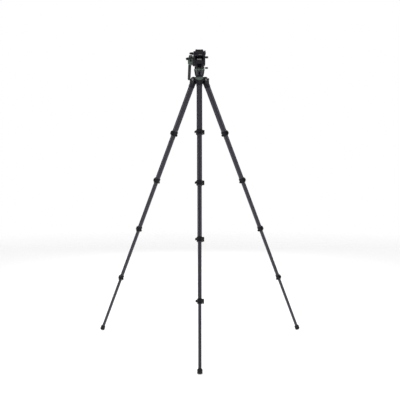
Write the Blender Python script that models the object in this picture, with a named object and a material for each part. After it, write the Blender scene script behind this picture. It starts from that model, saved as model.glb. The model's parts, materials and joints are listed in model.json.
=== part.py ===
"""A five-section travel tripod with flip locks, a levelling half ball and a fluid video head."""

import math

import bmesh
import bpy
from mathutils import Matrix, Vector

MM = 0.001
GAP = 0.35 * MM  # between neighbouring pieces

# Legs
LEG_NAMES = ("a", "b", "c")
LEG_ANGLE = math.radians(23.8)  # from the vertical
HINGE_RADIUS = 36 * MM  # from the tripod's axis
HINGE_HEIGHT = 1538 * MM
TUBE_RADII = [radius * MM for radius in (16, 14, 12, 10, 8.5)]
TUBE_CLEARANCE = 0.4 * MM
TUBE_STEPS = 20
COLLAR_CENTRES = [distance * MM for distance in (337, 642, 966, 1303)]  # down the leg
COLLAR_HEIGHT = 26 * MM
COLLAR_WALL = 4 * MM
TUBE_OVERLAP = 40 * MM  # of a tube above the centre of the collar that grips it
FIRST_TUBE_TOP = 18.4 * MM

# Flip levers
EAR_RADIUS = 4 * MM
EAR_THICKNESS = 4.6 * MM
PIVOT_OUTSIDE = 4.5 * MM  # from the collar's surface to the lever's pin
PIN_RADIUS = 1.7 * MM
LEVER_HEIGHT = 16 * MM
LEVER_THICKNESS = 3.2 * MM
LEVER_CLEARANCE = 0.6 * MM

# Shoulders, tabs and hinge pins
FORK_WIDTH = 35 * MM
LUG_HALF_WIDTH = 10.6 * MM
HINGE_PIN_RADIUS = 4 * MM
EAR_ROUND = 10 * MM
SLEEVE_RADIUS = 17.5 * MM
SLEEVE_TOP = 16.5 * MM
SLEEVE_END = 47 * MM
NOSE_RADIUS = 17.5 * MM  # of the lug's stop, round the hinge
TAB_TOP = 3 * MM
TAB_WIDTH = 43 * MM
TAB_SIDE = 2 * MM  # of the shield's straight sides, above the hinge's axis
TAB_DROP = 16.5 * MM  # of the shield's lowest point, below it

# Feet
FOOT_RADIUS = 14.25 * MM
FOOT_HEIGHT = 25 * MM
FOOT_ROUND = 5 * MM

# Levelling base
BALL_HEIGHT = 1550 * MM
BALL_RADIUS = 22 * MM
SEAT_RADIUS = 22.6 * MM
BOWL_RADIUS = 25.5 * MM  # the hub's rounded underside
HUB_TOP = 1552 * MM
STUD_RADIUS = 4 * MM
WASHER_RADIUS = 12 * MM
WASHER_THICKNESS = 3 * MM
LEVEL_ANGLE = math.radians(7.5)
NECK_TOP = 1588 * MM

# Fluid head
HEAD_STEPS = 24
PAN_HEIGHT = 1601 * MM  # where the housing turns on its base
PAN_LOCK_HEIGHT = 3.5 * MM  # above that
TILT_HEIGHT = 1642 * MM
SHAFT_RADIUS = 6 * MM
HOUSING_HALF_WIDTH = 23.5 * MM
CHEEK_INSIDE = 24 * MM
CHEEK_OUTSIDE = 34 * MM
CHEEK_RADIUS = 28 * MM
CHEEK_SLOPE = [(34.6 * MM, -18.6 * MM), (27.2 * MM, -30 * MM)]  # cut from its lower outer edge
DRUM_RADIUS = 23.5 * MM
DRUM_TOP = 20 * MM
CREST_RADIUS = 27.2 * MM  # of the drum's crest, which closes the gap below the platform
CREST_HALF = 10 * MM
PLATFORM_HALF_WIDTH = 34.5 * MM
PLATFORM_HALF_LENGTH = 38 * MM
PLATFORM_BOTTOM = 28 * MM  # above the tilt axis, as the next six are
CHANNEL_FLOOR = 42.3 * MM
RAIL_TOP = 55 * MM
PLATE_BOTTOM = 42.8 * MM
PLATE_TOP = 64 * MM
TILT_LOCK_HEIGHT = 23.5 * MM
CATCH_HEIGHT = 46.5 * MM
PLATE_HALF_LENGTH = 45 * MM
PLATE_LEVER_PIN = Vector((-41 * MM, 22 * MM, 0))
PLATE_LEVER_RADIUS = 6 * MM

# Pan handle
HANDLE_AXIS = Vector((0, 14 * MM, 3 * MM))  # from the tilt axis
ROSETTE_RADIUS = 30.5 * MM
ROSETTE_FACE = 38 * MM  # from the middle of the head
HANDLE_START = Vector((-55 * MM, 0, -11 * MM))  # of the bar, from the handle's axis
HANDLE_DROP = math.radians(18)
HANDLE_SPLAY = math.radians(1.8)
BAR_RADIUS = 5.5 * MM
GRIP_RADIUS = 8.8 * MM
GRIP_END = 235 * MM
CLAMP_INSIDE = -ROSETTE_FACE - 0.3 * MM
CLAMP_FRONT = -22 * MM
CLAMP_LEVER_PIN = Vector((-44.5 * MM, CLAMP_FRONT - 2 * GAP, 17 * MM))
CLAMP_LEVER_REST = math.radians(14.5)  # below the level
CLAMP_HUB_RADIUS = 5.2 * MM
CLAMP_PIN_RADIUS = 2.4 * MM

# Colours
CARBON = ((0.085, 0.083, 0.092), 0.42, 0.0)
BLACK = ((0.030, 0.030, 0.036), 0.5, 0.0)
CASTING = ((0.045, 0.046, 0.055), 0.45, 0.6)
GREEN = ((0.105, 0.155, 0.125), 0.4, 0.7)
STEEL = ((0.42, 0.41, 0.40), 0.3, 1.0)
RUBBER = ((0.016, 0.016, 0.018), 0.8, 0.0)


def material(name, look):
    colour, roughness, metallic = look
    made = bpy.data.materials.new(name)
    made.use_nodes = True
    shader = made.node_tree.nodes["Principled BSDF"]
    shader.inputs["Base Color"].default_value = (*colour, 1)
    shader.inputs["Roughness"].default_value = roughness
    shader.inputs["Metallic"].default_value = metallic
    return made


def empty(name, location, rotation=(0, 0, 0), parent=None):
    made = bpy.data.objects.new(name, None)
    bpy.context.collection.objects.link(made)
    made.location = location
    made.rotation_euler = rotation
    made.parent = parent
    return made


def place(name, mesh, look, parent, location=(0, 0, 0)):
    """A node: a copy of the mesh with its own material, in its parent's axes."""
    made = bpy.data.objects.new(name, mesh.copy())
    bpy.context.collection.objects.link(made)
    made.location = location
    made.parent = parent
    made.data.materials.clear()
    made.data.materials.append(material(name, look))
    made.data.shade_smooth()
    made.data.set_sharp_from_angle(angle=math.radians(35))
    return made


def mesh_of(bm, name):
    bmesh.ops.recalc_face_normals(bm, faces=bm.faces)
    mesh = bpy.data.meshes.new(name)
    bm.to_mesh(mesh)
    bm.free()
    return mesh


def moved(mesh, matrix):
    mesh.transform(matrix)
    return mesh


def turned(outline, steps):
    """A closed outline of (radius, height) points, swept round Z."""
    bm = bmesh.new()
    points = [bm.verts.new((radius, 0, height)) for radius, height in outline]
    following = points[1:] + points[:1]
    edges = [
        bm.edges.new(pair)
        for pair in zip(points, following)
        if pair[0].co.x > 0 or pair[1].co.x > 0
    ]
    bmesh.ops.spin(
        bm,
        geom=points + edges,
        cent=(0, 0, 0),
        axis=(0, 0, 1),
        angle=math.tau,
        steps=steps,
        use_merge=True,
    )
    bmesh.ops.remove_doubles(bm, verts=bm.verts, dist=1e-6)
    return mesh_of(bm, "turned")


def prism(outline, low, high, axis="Z"):
    """An outline extruded along an axis. Its points are the other two coordinates, in X, Y, Z order."""
    index = "XYZ".index(axis)
    bm = bmesh.new()
    corners = [bm.verts.new((*point[:index], low, *point[index:])) for point in outline]
    face = bm.faces.new(corners)
    extruded = bmesh.ops.extrude_face_region(bm, geom=[face])["geom"]
    along = Vector([high - low if i == index else 0 for i in range(3)])
    raised = [item for item in extruded if isinstance(item, bmesh.types.BMVert)]
    bmesh.ops.translate(bm, verts=raised, vec=along)
    return mesh_of(bm, "prism")


def box(low, high):
    outline = [(low[0], low[1]), (high[0], low[1]), (high[0], high[1]), (low[0], high[1])]
    return prism(outline, low[2], high[2])


def arc(radius, start, end, count, centre=(0, 0)):
    """Points on an arc, between two angles in degrees, both ends included."""
    angles = [math.radians(start + (end - start) * i / count) for i in range(count + 1)]
    return [
        (centre[0] + radius * math.cos(angle), centre[1] + radius * math.sin(angle))
        for angle in angles
    ]


def cylinder(radius, low, high, axis="Z", centre=(0, 0), steps=16):
    return prism(arc(radius, 0, 360 - 360 / steps, steps - 1, centre), low, high, axis)


def combine(mesh, other, operation):
    """The first mesh joined with, cut by, or kept inside the second."""
    scene = bpy.context.collection.objects
    base = bpy.data.objects.new("base", mesh)
    tool = bpy.data.objects.new("tool", other)
    scene.link(base)
    scene.link(tool)
    modifier = base.modifiers.new("combine", "BOOLEAN")
    modifier.operation = operation
    modifier.object = tool
    graph = bpy.context.evaluated_depsgraph_get()
    made = bpy.data.meshes.new_from_object(base.evaluated_get(graph))
    bpy.data.objects.remove(base)
    bpy.data.objects.remove(tool)
    return made


def joined(mesh, *others):
    for other in others:
        mesh = combine(mesh, other, "UNION")
    return mesh


def cut(mesh, *cutters):
    for cutter in cutters:
        mesh = combine(mesh, cutter, "DIFFERENCE")
    return mesh


# ---------------------------------------------------------------- legs
# In a leg's axes the hinge is at the origin, -Z runs down the leg, -Y is outward and X is the
# hinge's axis.


def collar_pivot(index):
    """The flip lever's pin, from the leg's axis along X."""
    return TUBE_RADII[index] + COLLAR_WALL + PIVOT_OUTSIDE


def section_mesh(index):
    """A tube with the flip lock's collar, ears and pin at its lower end; Z = 0 at the collar."""
    centre = COLLAR_CENTRES[index]
    top = centre - FIRST_TUBE_TOP
    if index > 0:
        top = centre - COLLAR_CENTRES[index - 1] + TUBE_OVERLAP
    tube = TUBE_RADII[index]
    bore = TUBE_RADII[index + 1] + TUBE_CLEARANCE
    collar = tube + COLLAR_WALL
    half = COLLAR_HEIGHT / 2
    chamfer = 1 * MM
    outline = [
        (bore, top),
        (tube, top),
        (tube, half),
        (collar - chamfer, half),
        (collar, half - chamfer),
        (collar, chamfer - half),
        (collar - chamfer, -half),
        (bore, -half),
    ]
    body = turned(outline, TUBE_STEPS)
    pivot = collar_pivot(index)
    inside = tube + COLLAR_WALL / 2
    for low in (-half + chamfer / 2, half - EAR_THICKNESS + chamfer / 2):
        high = low + EAR_THICKNESS - chamfer
        outline = arc(EAR_RADIUS, -90, 90, 6, (pivot, 0))
        outline += [(inside, EAR_RADIUS), (inside, -EAR_RADIUS)]
        body = joined(body, prism(outline, low, high))
    pin = cylinder(PIN_RADIUS, -half + 2 * chamfer, half - 2 * chamfer, "Z", (pivot, 0), 8)
    slit = box((0, bore / 2, -2 * half), (1.6 * MM, 2 * collar, 0))
    return cut(joined(body, pin), slit)


def lever_mesh(index):
    """A flip lever, closed round the collar's outward side; the origin is on its pin."""
    pivot = collar_pivot(index)
    collar = TUBE_RADII[index] + COLLAR_WALL
    inner = collar + LEVER_CLEARANCE
    outer = inner + LEVER_THICKNESS
    tip = -pivot - EAR_RADIUS
    outline = arc(inner, -3, -174, 11)
    outline += [(tip, -0.10 * collar), (tip, -0.34 * collar)]
    outline += arc(outer, -156, -8, 10)
    half = LEVER_HEIGHT / 2
    blade = prism(outline, -half, half)
    hub = cylinder(EAR_RADIUS, -half, half, "Z", (pivot, 0), 12)
    bore = cylinder(PIN_RADIUS + GAP, -COLLAR_HEIGHT, COLLAR_HEIGHT, "Z", (pivot, 0), 12)
    made = cut(joined(blade, hub), bore)
    return moved(made, Matrix.Translation((-pivot, 0, 0)))


def last_tube_mesh(foot_end):
    """The lowest tube; Z = 0 at the foot's end."""
    top = foot_end - COLLAR_CENTRES[-1] + TUBE_OVERLAP
    radius = TUBE_RADII[-1]
    wall = 1.2 * MM
    bottom = 7.2 * MM
    outline = [(radius - wall, top), (radius, top), (radius, bottom), (radius - wall, bottom)]
    return turned(outline, TUBE_STEPS)


def foot_mesh():
    """A rounded rubber foot with a blind socket; Z = 0 at its end."""
    socket = TUBE_RADII[-1] + GAP
    floor = 6.6 * MM
    corner = (FOOT_RADIUS - FOOT_ROUND, FOOT_ROUND)
    lean = math.degrees(LEG_ANGLE)
    outline = [(0, 0), (corner[0], 0)]
    outline += arc(FOOT_ROUND, -90 + lean, -90 + 2 * lean, 1, corner)
    outline += [(FOOT_RADIUS, FOOT_ROUND)]
    outline += [(FOOT_RADIUS, FOOT_HEIGHT - 4 * MM), (FOOT_RADIUS - 2 * MM, FOOT_HEIGHT)]
    outline += [(socket, FOOT_HEIGHT), (socket, floor), (0, floor)]
    return turned(outline, TUBE_STEPS)


def leg_outline(points):
    """(outward, down the leg) points as (Y, Z) points."""
    return [(-outward, -down) for outward, down in points]


def shoulder_mesh():
    """The fork on the hinge pin and the sleeve that holds the first tube."""
    half = FORK_WIDTH / 2
    front = 13.5 * MM
    web_top = SLEEVE_TOP - 4 * MM
    outline = leg_outline(
        [(front, SLEEVE_TOP + MM), (front, web_top - 3 * MM)]
        + [(y, z) for y, z in arc(EAR_ROUND, 20, -200, 11)]
        + [(-front, web_top), (-front, SLEEVE_TOP + MM)]
    )
    ear_inside = LUG_HALF_WIDTH + GAP + 0.05 * MM
    ears = [prism(outline, ear_inside, half, "X"), prism(outline, -half, -ear_inside, "X")]
    web = box((-half, -front, -SLEEVE_TOP - MM), (half, front, -web_top))
    sleeve = turned(
        [
            (0, -SLEEVE_TOP),
            (SLEEVE_RADIUS, -SLEEVE_TOP),
            (SLEEVE_RADIUS, -SLEEVE_END),
            (0, -SLEEVE_END),
        ],
        TUBE_STEPS,
    )
    socket_radius = TUBE_RADII[0] + GAP
    socket = cylinder(socket_radius, -2 * SLEEVE_END, -FIRST_TUBE_TOP + GAP, steps=TUBE_STEPS)
    pin = cylinder(HINGE_PIN_RADIUS + GAP, -half * 2, half * 2, "X")
    return cut(joined(web, *ears, sleeve), socket, pin)


def tab_mesh():
    """The pull-out angle lock: a tongue between the fork's ears and a rounded shield in front."""
    tongue_half = LUG_HALF_WIDTH - 0.3 * MM
    face = 14.2 * MM
    tongue = prism(
        leg_outline(
            [
                (9.7 * MM, -TAB_TOP),
                (face + MM, -TAB_TOP),
                (face + MM, TAB_TOP),
                (9.7 * MM, TAB_TOP),
            ]
        ),
        -tongue_half,
        tongue_half,
        "X",
    )
    half = TAB_WIDTH / 2
    corner = math.radians(15)  # below the level of the arc's centre
    radius = half / math.cos(corner)
    shield = [(-half, TAB_SIDE), (half, TAB_SIDE)]
    shield += arc(radius, -15, -165, 10, (0, radius - TAB_DROP))
    return joined(tongue, prism(shield, -face - 4.3 * MM, -face, "Y"))


def foot_end_distance():
    """How far down the leg its end lies when the foot's rounded edge stands on the floor."""
    rise = (FOOT_RADIUS - FOOT_ROUND) * math.sin(LEG_ANGLE) + FOOT_ROUND
    return FOOT_ROUND + (HINGE_HEIGHT - rise) / math.cos(LEG_ANGLE)


def build_legs(axis):
    """Three legs from shared meshes, each in the axes of an empty on its hinge."""
    foot_end = foot_end_distance()
    sections = [section_mesh(index) for index in range(4)]
    levers = [lever_mesh(index) for index in range(4)]
    last_tube = last_tube_mesh(foot_end)
    foot = foot_mesh()
    shoulder = shoulder_mesh()
    tab = tab_mesh()
    half_pin = FORK_WIDTH / 2
    pin = cylinder(HINGE_PIN_RADIUS, -half_pin, half_pin, "X")
    for number, letter in enumerate(LEG_NAMES):
        turn = math.tau * number / 3
        leg = empty(
            f"leg_{letter}_hinge",
            (HINGE_RADIUS * math.sin(turn), -HINGE_RADIUS * math.cos(turn), HINGE_HEIGHT),
            (-LEG_ANGLE, 0, turn),
            axis,
        )
        place(f"leg_{letter}_hinge_pin", pin, STEEL, leg)
        place(f"leg_{letter}_shoulder", shoulder, CASTING, leg)
        place(f"leg_{letter}_angle_tab", tab, GREEN, leg)
        for index, centre in enumerate(COLLAR_CENTRES):
            name = f"leg_{letter}_section_{index + 1}"
            place(name, sections[index], CARBON, leg, (0, 0, -centre))
            at_pin = (collar_pivot(index), 0, -centre)
            place(f"leg_{letter}_lever_{index + 1}", levers[index], BLACK, leg, at_pin)
        place(f"leg_{letter}_section_5", last_tube, CARBON, leg, (0, 0, -foot_end))
        place(f"leg_{letter}_foot", foot, RUBBER, leg, (0, 0, -foot_end))


# ---------------------------------------------------------------- hub and levelling base
# These meshes have the ball's centre at their origin.


def sphere_height(radius, distance):
    """How far below its centre a sphere is, at a distance from its vertical axis."""
    return -math.sqrt(radius * radius - distance * distance)


def sphere_points(radius, start, end, count):
    """Points on a sphere's lower half, between two distances from its vertical axis."""
    first = math.degrees(math.asin(start / radius)) - 90
    last = math.degrees(math.asin(end / radius)) - 90
    return arc(radius, first, last, count)


def lug_mesh():
    """The front lug, with the leg's stop above the hinge; Y and Z are from the hinge."""
    stop_down = -TAB_TOP - GAP
    stop_far = math.sqrt(NOSE_RADIUS**2 - stop_down**2)
    stop = [(8 * MM, stop_down), (stop_far, stop_down)]
    cosine = math.cos(LEG_ANGLE)
    sine = math.sin(LEG_ANGLE)
    stop = [(o * cosine + d * sine, o * sine - d * cosine) for o, d in stop]
    inward = -21 * MM
    outline = arc(9 * MM, 20, -140, 8)[::-1] + stop
    outline += arc(NOSE_RADIUS, 48, 104, 4)
    outline += [(inward, 13.8 * MM), (inward, -7 * MM)]
    outline = [(-outward, height) for outward, height in outline]
    return prism(outline, -LUG_HALF_WIDTH, LUG_HALF_WIDTH, "X")


def hub_mesh():
    """The casting that holds the legs, with the ball's seat in it."""
    top = HUB_TOP - BALL_HEIGHT
    flange = 28.5 * MM
    body = 25.5 * MM
    hole = 9.5 * MM
    bowl_edge = 15 * MM
    underside = sphere_height(BOWL_RADIUS, bowl_edge)
    outline = [(0, sphere_height(BOWL_RADIUS, hole)), (hole, sphere_height(BOWL_RADIUS, hole))]
    outline += sphere_points(BOWL_RADIUS, hole, bowl_edge, 2)[1:]
    outline += [(21.5 * MM, underside), (body, underside + 9 * MM), (body, top - 3.5 * MM)]
    outline += [(flange, top - 2.5 * MM), (flange, top), (0, top)]
    core = turned(outline, HEAD_STEPS)
    seat = sphere_points(SEAT_RADIUS, hole, SEAT_RADIUS, 6)
    seat = [(0, -BALL_HEIGHT), (hole, -BALL_HEIGHT)] + seat + [(SEAT_RADIUS, top * 2), (0, top * 2)]
    lug = lug_mesh()
    hinge = Vector((0, -HINGE_RADIUS, HINGE_HEIGHT - BALL_HEIGHT))
    lug.transform(Matrix.Translation(hinge))
    bore = cylinder(HINGE_PIN_RADIUS + GAP, -FORK_WIDTH, FORK_WIDTH, "X", (hinge.y, hinge.z))
    made = core
    for number in range(3):
        turn = Matrix.Rotation(math.tau * number / 3, 4, "Z")
        made = joined(made, moved(lug.copy(), turn))
    made = cut(made, turned(seat, HEAD_STEPS))
    for number in range(3):
        turn = Matrix.Rotation(math.tau * number / 3, 4, "Z")
        made = cut(made, moved(bore.copy(), turn))
    return made


def washer_mesh():
    """The cup washer under the hub, slotted along X for the stud."""
    inner = BOWL_RADIUS + GAP
    outer = inner + WASHER_THICKNESS
    outline = sphere_points(inner, 0, WASHER_RADIUS, 4)
    outline += sphere_points(outer, WASHER_RADIUS * outer / inner, 0, 4)
    width = STUD_RADIUS + GAP
    reach = outer * math.tan(LEVEL_ANGLE)
    slot = arc(width, -90, 90, 6, (reach, 0)) + arc(width, 90, 270, 6, (-reach, 0))
    return cut(turned(outline, HEAD_STEPS), prism(slot, -2 * outer, 0))


def neck_mesh():
    """The half ball with its stud below and its flared neck above."""
    top = NECK_TOP - BALL_HEIGHT
    stud_end = -50 * MM
    outline = [(0, stud_end), (STUD_RADIUS, stud_end)]
    outline += sphere_points(BALL_RADIUS, STUD_RADIUS, BALL_RADIUS, 7)
    outline += [
        (20.5 * MM, 3 * MM),
        (21 * MM, 7.2 * MM),
        (24.2 * MM, 9 * MM),
        (25.3 * MM, 14 * MM),
        (26.9 * MM, 27 * MM),
        (27.6 * MM, 34 * MM),
        (27.6 * MM, top),
        (0, top),
    ]
    return turned(outline, HEAD_STEPS)


def tie_down_mesh():
    """The knob on the ball's stud."""
    top = -BOWL_RADIUS - WASHER_THICKNESS - 2 * GAP
    bottom = top - 28 * MM
    bore = STUD_RADIUS + GAP
    floor = -50 * MM - GAP
    outline = [
        (0, bottom),
        (8.5 * MM, bottom),
        (10 * MM, bottom + 1.5 * MM),
        (10 * MM, top - 8 * MM),
        (7 * MM, top - 6 * MM),
        (7 * MM, top),
        (bore, top),
        (bore, floor),
        (0, floor),
    ]
    return turned(outline, TUBE_STEPS)


# ---------------------------------------------------------------- fluid head
# The pan pieces have their origin at the pan bearing, the others on the tilt axis.


def pan_base_mesh():
    """The fixed disc on the neck and the spigot that the housing turns on."""
    bottom = NECK_TOP - PAN_HEIGHT + 0.3 * MM
    outline = [(0, bottom), (26 * MM, bottom), (26 * MM, -0.3 * MM)]
    outline += [(12 * MM, -0.3 * MM), (12 * MM, 9.5 * MM), (0, 9.5 * MM)]
    return turned(outline, HEAD_STEPS)


def pan_ring_mesh():
    bottom = NECK_TOP - PAN_HEIGHT + 0.3 * MM
    outer = 29.6 * MM
    inner = 26.4 * MM
    top = -2.3 * MM
    outline = [(inner, bottom), (outer, bottom), (outer, top - MM), (outer - MM, top), (inner, top)]
    return turned(outline, HEAD_STEPS)


def housing_mesh():
    """The turning base and the drum between the cheeks, with a recess in its front."""
    down = PAN_HEIGHT - TILT_HEIGHT
    disc_top = down + 11 * MM
    base = turned(
        [(0, down), (26.8 * MM, down), (26.8 * MM, disc_top), (0, disc_top)], HEAD_STEPS
    )
    flat_angle = math.degrees(math.asin(DRUM_TOP / DRUM_RADIUS))
    crest_angle = math.degrees(math.acos(CREST_HALF / CREST_RADIUS))
    outline = [(-19 * MM, disc_top - MM), (19 * MM, disc_top - MM)]
    outline += arc(DRUM_RADIUS, -30, flat_angle, 6)
    outline += [(CREST_HALF, DRUM_TOP)]
    outline += arc(CREST_RADIUS, crest_angle, 180 - crest_angle, 4)
    outline += [(-CREST_HALF, DRUM_TOP)]
    outline += arc(DRUM_RADIUS, 180 - flat_angle, 210, 6)
    drum = prism(outline, -HOUSING_HALF_WIDTH, HOUSING_HALF_WIDTH, "X")
    spigot = cylinder(12.4 * MM, down - MM, down + 10.5 * MM, steps=HEAD_STEPS)
    shaft = cylinder(SHAFT_RADIUS + GAP, -CHEEK_INSIDE, CHEEK_INSIDE, "X")
    drag = cylinder(15.3 * MM, -CHEEK_INSIDE, 15 * MM, "X", steps=TUBE_STEPS)
    recess = prism(
        [
            (-9 * MM, down + 5 * MM),
            (9 * MM, down + 5 * MM),
            (14 * MM, -15 * MM),
            (-14 * MM, -15 * MM),
        ],
        -40 * MM,
        -17.6 * MM,
        "Y",
    )
    lock = cylinder(2.6 * MM, 20 * MM, 40 * MM, "X", (0, down + PAN_LOCK_HEIGHT), 12)
    return cut(joined(base, drum), spigot, drag, shaft, recess, lock)


def drag_drum_mesh():
    outer = 15 * MM
    bore = SHAFT_RADIUS + GAP
    outline = [(bore, -23.2 * MM), (outer, -23.2 * MM), (outer, 14.6 * MM), (bore, 14.6 * MM)]
    return moved(turned(outline, TUBE_STEPS), Matrix.Rotation(math.radians(90), 4, "Y"))


def rosette_mesh():
    """The round seat of the pan handle, on the left cheek."""
    outline = [
        (0, CHEEK_OUTSIDE - MM),
        (ROSETTE_RADIUS, CHEEK_OUTSIDE - MM),
        (ROSETTE_RADIUS, CHEEK_OUTSIDE + 0.5 * MM),
        (ROSETTE_RADIUS - 3.5 * MM, ROSETTE_FACE),
        (0, ROSETTE_FACE),
    ]
    disc = moved(turned(outline, HEAD_STEPS), Matrix.Rotation(math.radians(-90), 4, "Y"))
    return moved(disc, Matrix.Translation(HANDLE_AXIS))


def cradle_mesh():
    """Both cheeks and the platform with its dovetail channel and its two lever mounts."""
    outline = arc(CHEEK_RADIUS, 0, -180, 14)
    outline += [
        (-PLATFORM_HALF_LENGTH + 6 * MM, PLATFORM_BOTTOM + 3 * MM),
        (PLATFORM_HALF_LENGTH - 6 * MM, PLATFORM_BOTTOM + 3 * MM),
    ]
    right = prism(outline, CHEEK_INSIDE, CHEEK_OUTSIDE, "X")
    left = prism(outline, -CHEEK_OUTSIDE, -CHEEK_INSIDE, "X")
    half = PLATFORM_HALF_WIDTH
    shaft = cylinder(SHAFT_RADIUS + GAP, -2 * half, 2 * half, "X")
    tilt_lock = cylinder(3.9 * MM, 0, 2 * half, "X", (0, TILT_LOCK_HEIGHT), 12)
    handle_stud = cylinder(3.4 * MM, -2 * half, -26.5 * MM, "X", HANDLE_AXIS.yz, 12)
    right = cut(right, tilt_lock, shaft.copy())
    left = cut(joined(left, rosette_mesh()), handle_stud, shaft)
    out = 2 * CHEEK_OUTSIDE
    slope = CHEEK_SLOPE + [(out, CHEEK_SLOPE[1][1]), (out, CHEEK_SLOPE[0][1])]
    right = cut(right, prism(slope, -out, out, "Y"))
    channel = 26.5 * MM
    mouth = 24 * MM
    section = [
        (half, PLATFORM_BOTTOM),
        (half, RAIL_TOP - 3 * MM),
        (half - 3 * MM, RAIL_TOP),
        (mouth, RAIL_TOP),
        (channel, CHANNEL_FLOOR),
    ]
    section = section + [(-x, z) for x, z in reversed(section)]
    platform = prism(section, -PLATFORM_HALF_LENGTH, PLATFORM_HALF_LENGTH, "Y")
    catch = cylinder(2.8 * MM, 20 * MM, 2 * half, "X", (0, CATCH_HEIGHT), 12)
    inside = MM - half
    outline = arc(PLATE_LEVER_RADIUS, 90, 270, 8, PLATE_LEVER_PIN.xy)
    outline += [(inside, PLATE_LEVER_PIN.y - PLATE_LEVER_RADIUS)]
    outline += [(inside, PLATE_LEVER_PIN.y + PLATE_LEVER_RADIUS)]
    boss = prism(outline, 40.6 * MM, 43.6 * MM)
    pin = cylinder(2.2 * MM, 40 * MM, 54 * MM, "Z", PLATE_LEVER_PIN.xy, 10)
    return joined(cut(platform, catch), right, left, boss, pin)


def plate_lever_mesh():
    """The lever that locks the camera plate, with a thick tip; the origin is on its pin."""
    outline = arc(PLATE_LEVER_RADIUS, 200, -20, 9)
    outline += [(4 * MM, -22 * MM), (-10 * MM, -40 * MM)]
    outline += [(-17 * MM, -38 * MM), (-15.5 * MM, -30 * MM)]
    lever = prism(outline, 44 * MM, 54.5 * MM)
    tip = [(-4 * MM, -27.5 * MM), (-10 * MM, -39.5 * MM), (-16.5 * MM, -37.5 * MM)]
    tip += [(-15 * MM, -27.5 * MM)]
    lever = joined(lever, prism(tip, 39.8 * MM, 45 * MM))
    return cut(lever, cylinder(2.2 * MM + GAP, 0, 60 * MM, steps=10))


def plate_catch_mesh():
    """The sprung catch on the right rail, with its finger and stem; the origin is on its axis."""
    outline = [
        (34.9 * MM, -8.5 * MM),
        (37 * MM, -8.5 * MM),
        (38.3 * MM, 3.5 * MM),
        (36 * MM, 9.4 * MM),
        (34.2 * MM, 17.4 * MM),
        (30.4 * MM, 17.4 * MM),
        (30.4 * MM, 9.3 * MM),
        (34.9 * MM, 9.3 * MM),
    ]
    plate = prism(outline, -9 * MM, 9 * MM, "Y")
    return joined(plate, cylinder(2.4 * MM, 27.2 * MM, 36 * MM, "X", steps=10))


def camera_plate_mesh():
    """The quick-release plate: dovetail below, pocket for the screw, scoop in the front."""
    half_section = [
        (26 * MM, PLATE_BOTTOM),
        (23.5 * MM, RAIL_TOP + 0.2 * MM),
        (23.5 * MM, RAIL_TOP + 3 * MM),
        (20 * MM, PLATE_TOP),
    ]
    section = half_section + [(-x, z) for x, z in reversed(half_section)]
    plate = prism(section, -PLATE_HALF_LENGTH, PLATE_HALF_LENGTH, "Y")
    pocket = cylinder(11 * MM, 0, PLATE_TOP - 8 * MM, steps=TUBE_STEPS)
    hole = cylinder(3.6 * MM, 0, 2 * PLATE_TOP, steps=12)
    scoop = cylinder(
        12 * MM, -2 * PLATE_HALF_LENGTH, 7 * MM - PLATE_HALF_LENGTH, "Y", (0, PLATE_TOP + MM)
    )
    return cut(plate, pocket, hole, scoop)


def camera_screw_mesh():
    head = 10.3 * MM
    shank = 3.1 * MM
    bottom = PLATE_TOP - 15 * MM
    shoulder = PLATE_TOP - 9 * MM
    top = PLATE_TOP - 0.5 * MM
    outline = [(0, bottom), (head, bottom), (head, shoulder), (shank, shoulder), (shank, top), (0, top)]
    return turned(outline, TUBE_STEPS)


def lock_knob_mesh(stem, stem_start, cap, cap_start, cap_end):
    """A small clamp knob along +X."""
    outline = [
        (0, stem_start),
        (stem, stem_start),
        (stem, cap_start),
        (cap, cap_start),
        (cap, cap_end - MM),
        (cap - MM, cap_end),
        (0, cap_end),
    ]
    return moved(turned(outline, 14), Matrix.Rotation(math.radians(90), 4, "Y"))


# ---------------------------------------------------------------- pan handle
# The origin is where the handle's clamp turns, on the left cheek.


def bar_matrix():
    """From a bar along +Z to the pan bar's place and direction."""
    direction = Vector(
        (
            -math.sin(HANDLE_SPLAY),
            math.cos(HANDLE_DROP) * math.cos(HANDLE_SPLAY),
            -math.sin(HANDLE_DROP) * math.cos(HANDLE_SPLAY),
        )
    )
    turn = direction.to_track_quat("Z", "Y").to_matrix().to_4x4()
    return Matrix.Translation(HANDLE_START) @ turn


def handle_clamp_mesh():
    """The green clamp with its stud and the boss for its lever, rounded about its axis."""
    outline = [
        (-62, 21.5),
        (-64.5, 17),
        (-64.5, -11),
        (-62, -17.5),
        (-57, -20.5),
        (-50, -21.3),
    ]
    outline = [(x * MM, z * MM) for x, z in outline]
    outline = [(CLAMP_INSIDE, 21.5 * MM)] + outline + [(CLAMP_INSIDE, -24 * MM)]
    body = prism(outline, CLAMP_FRONT, 30 * MM, "Y")
    rounding = cylinder(26.5 * MM, -70 * MM, -30 * MM, "X", (0, -2 * MM), 24)
    body = combine(body, rounding, "INTERSECT")
    pin = CLAMP_LEVER_PIN.xz
    boss = cylinder(CLAMP_HUB_RADIUS, CLAMP_FRONT - GAP, -8 * MM, "Y", pin)
    stud = cylinder(3 * MM, -45 * MM, -28 * MM, "X", steps=12)
    bar = moved(cylinder(BAR_RADIUS + GAP, 6 * MM, 90 * MM), bar_matrix())
    bore = cylinder(CLAMP_PIN_RADIUS + GAP, -40 * MM, -12 * MM, "Y", pin, 12)
    return cut(joined(body, boss, stud), bar, bore)


def handle_jaw_mesh():
    outline = [(-61.5, 21.9), (-38.5, 21.9), (-38.5, 31.5), (-42, 35), (-56.5, 35), (-61.5, 31)]
    outline = [(x * MM, z * MM) for x, z in outline]
    return prism(outline, -6 * MM, 6 * MM, "Y")


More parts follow.
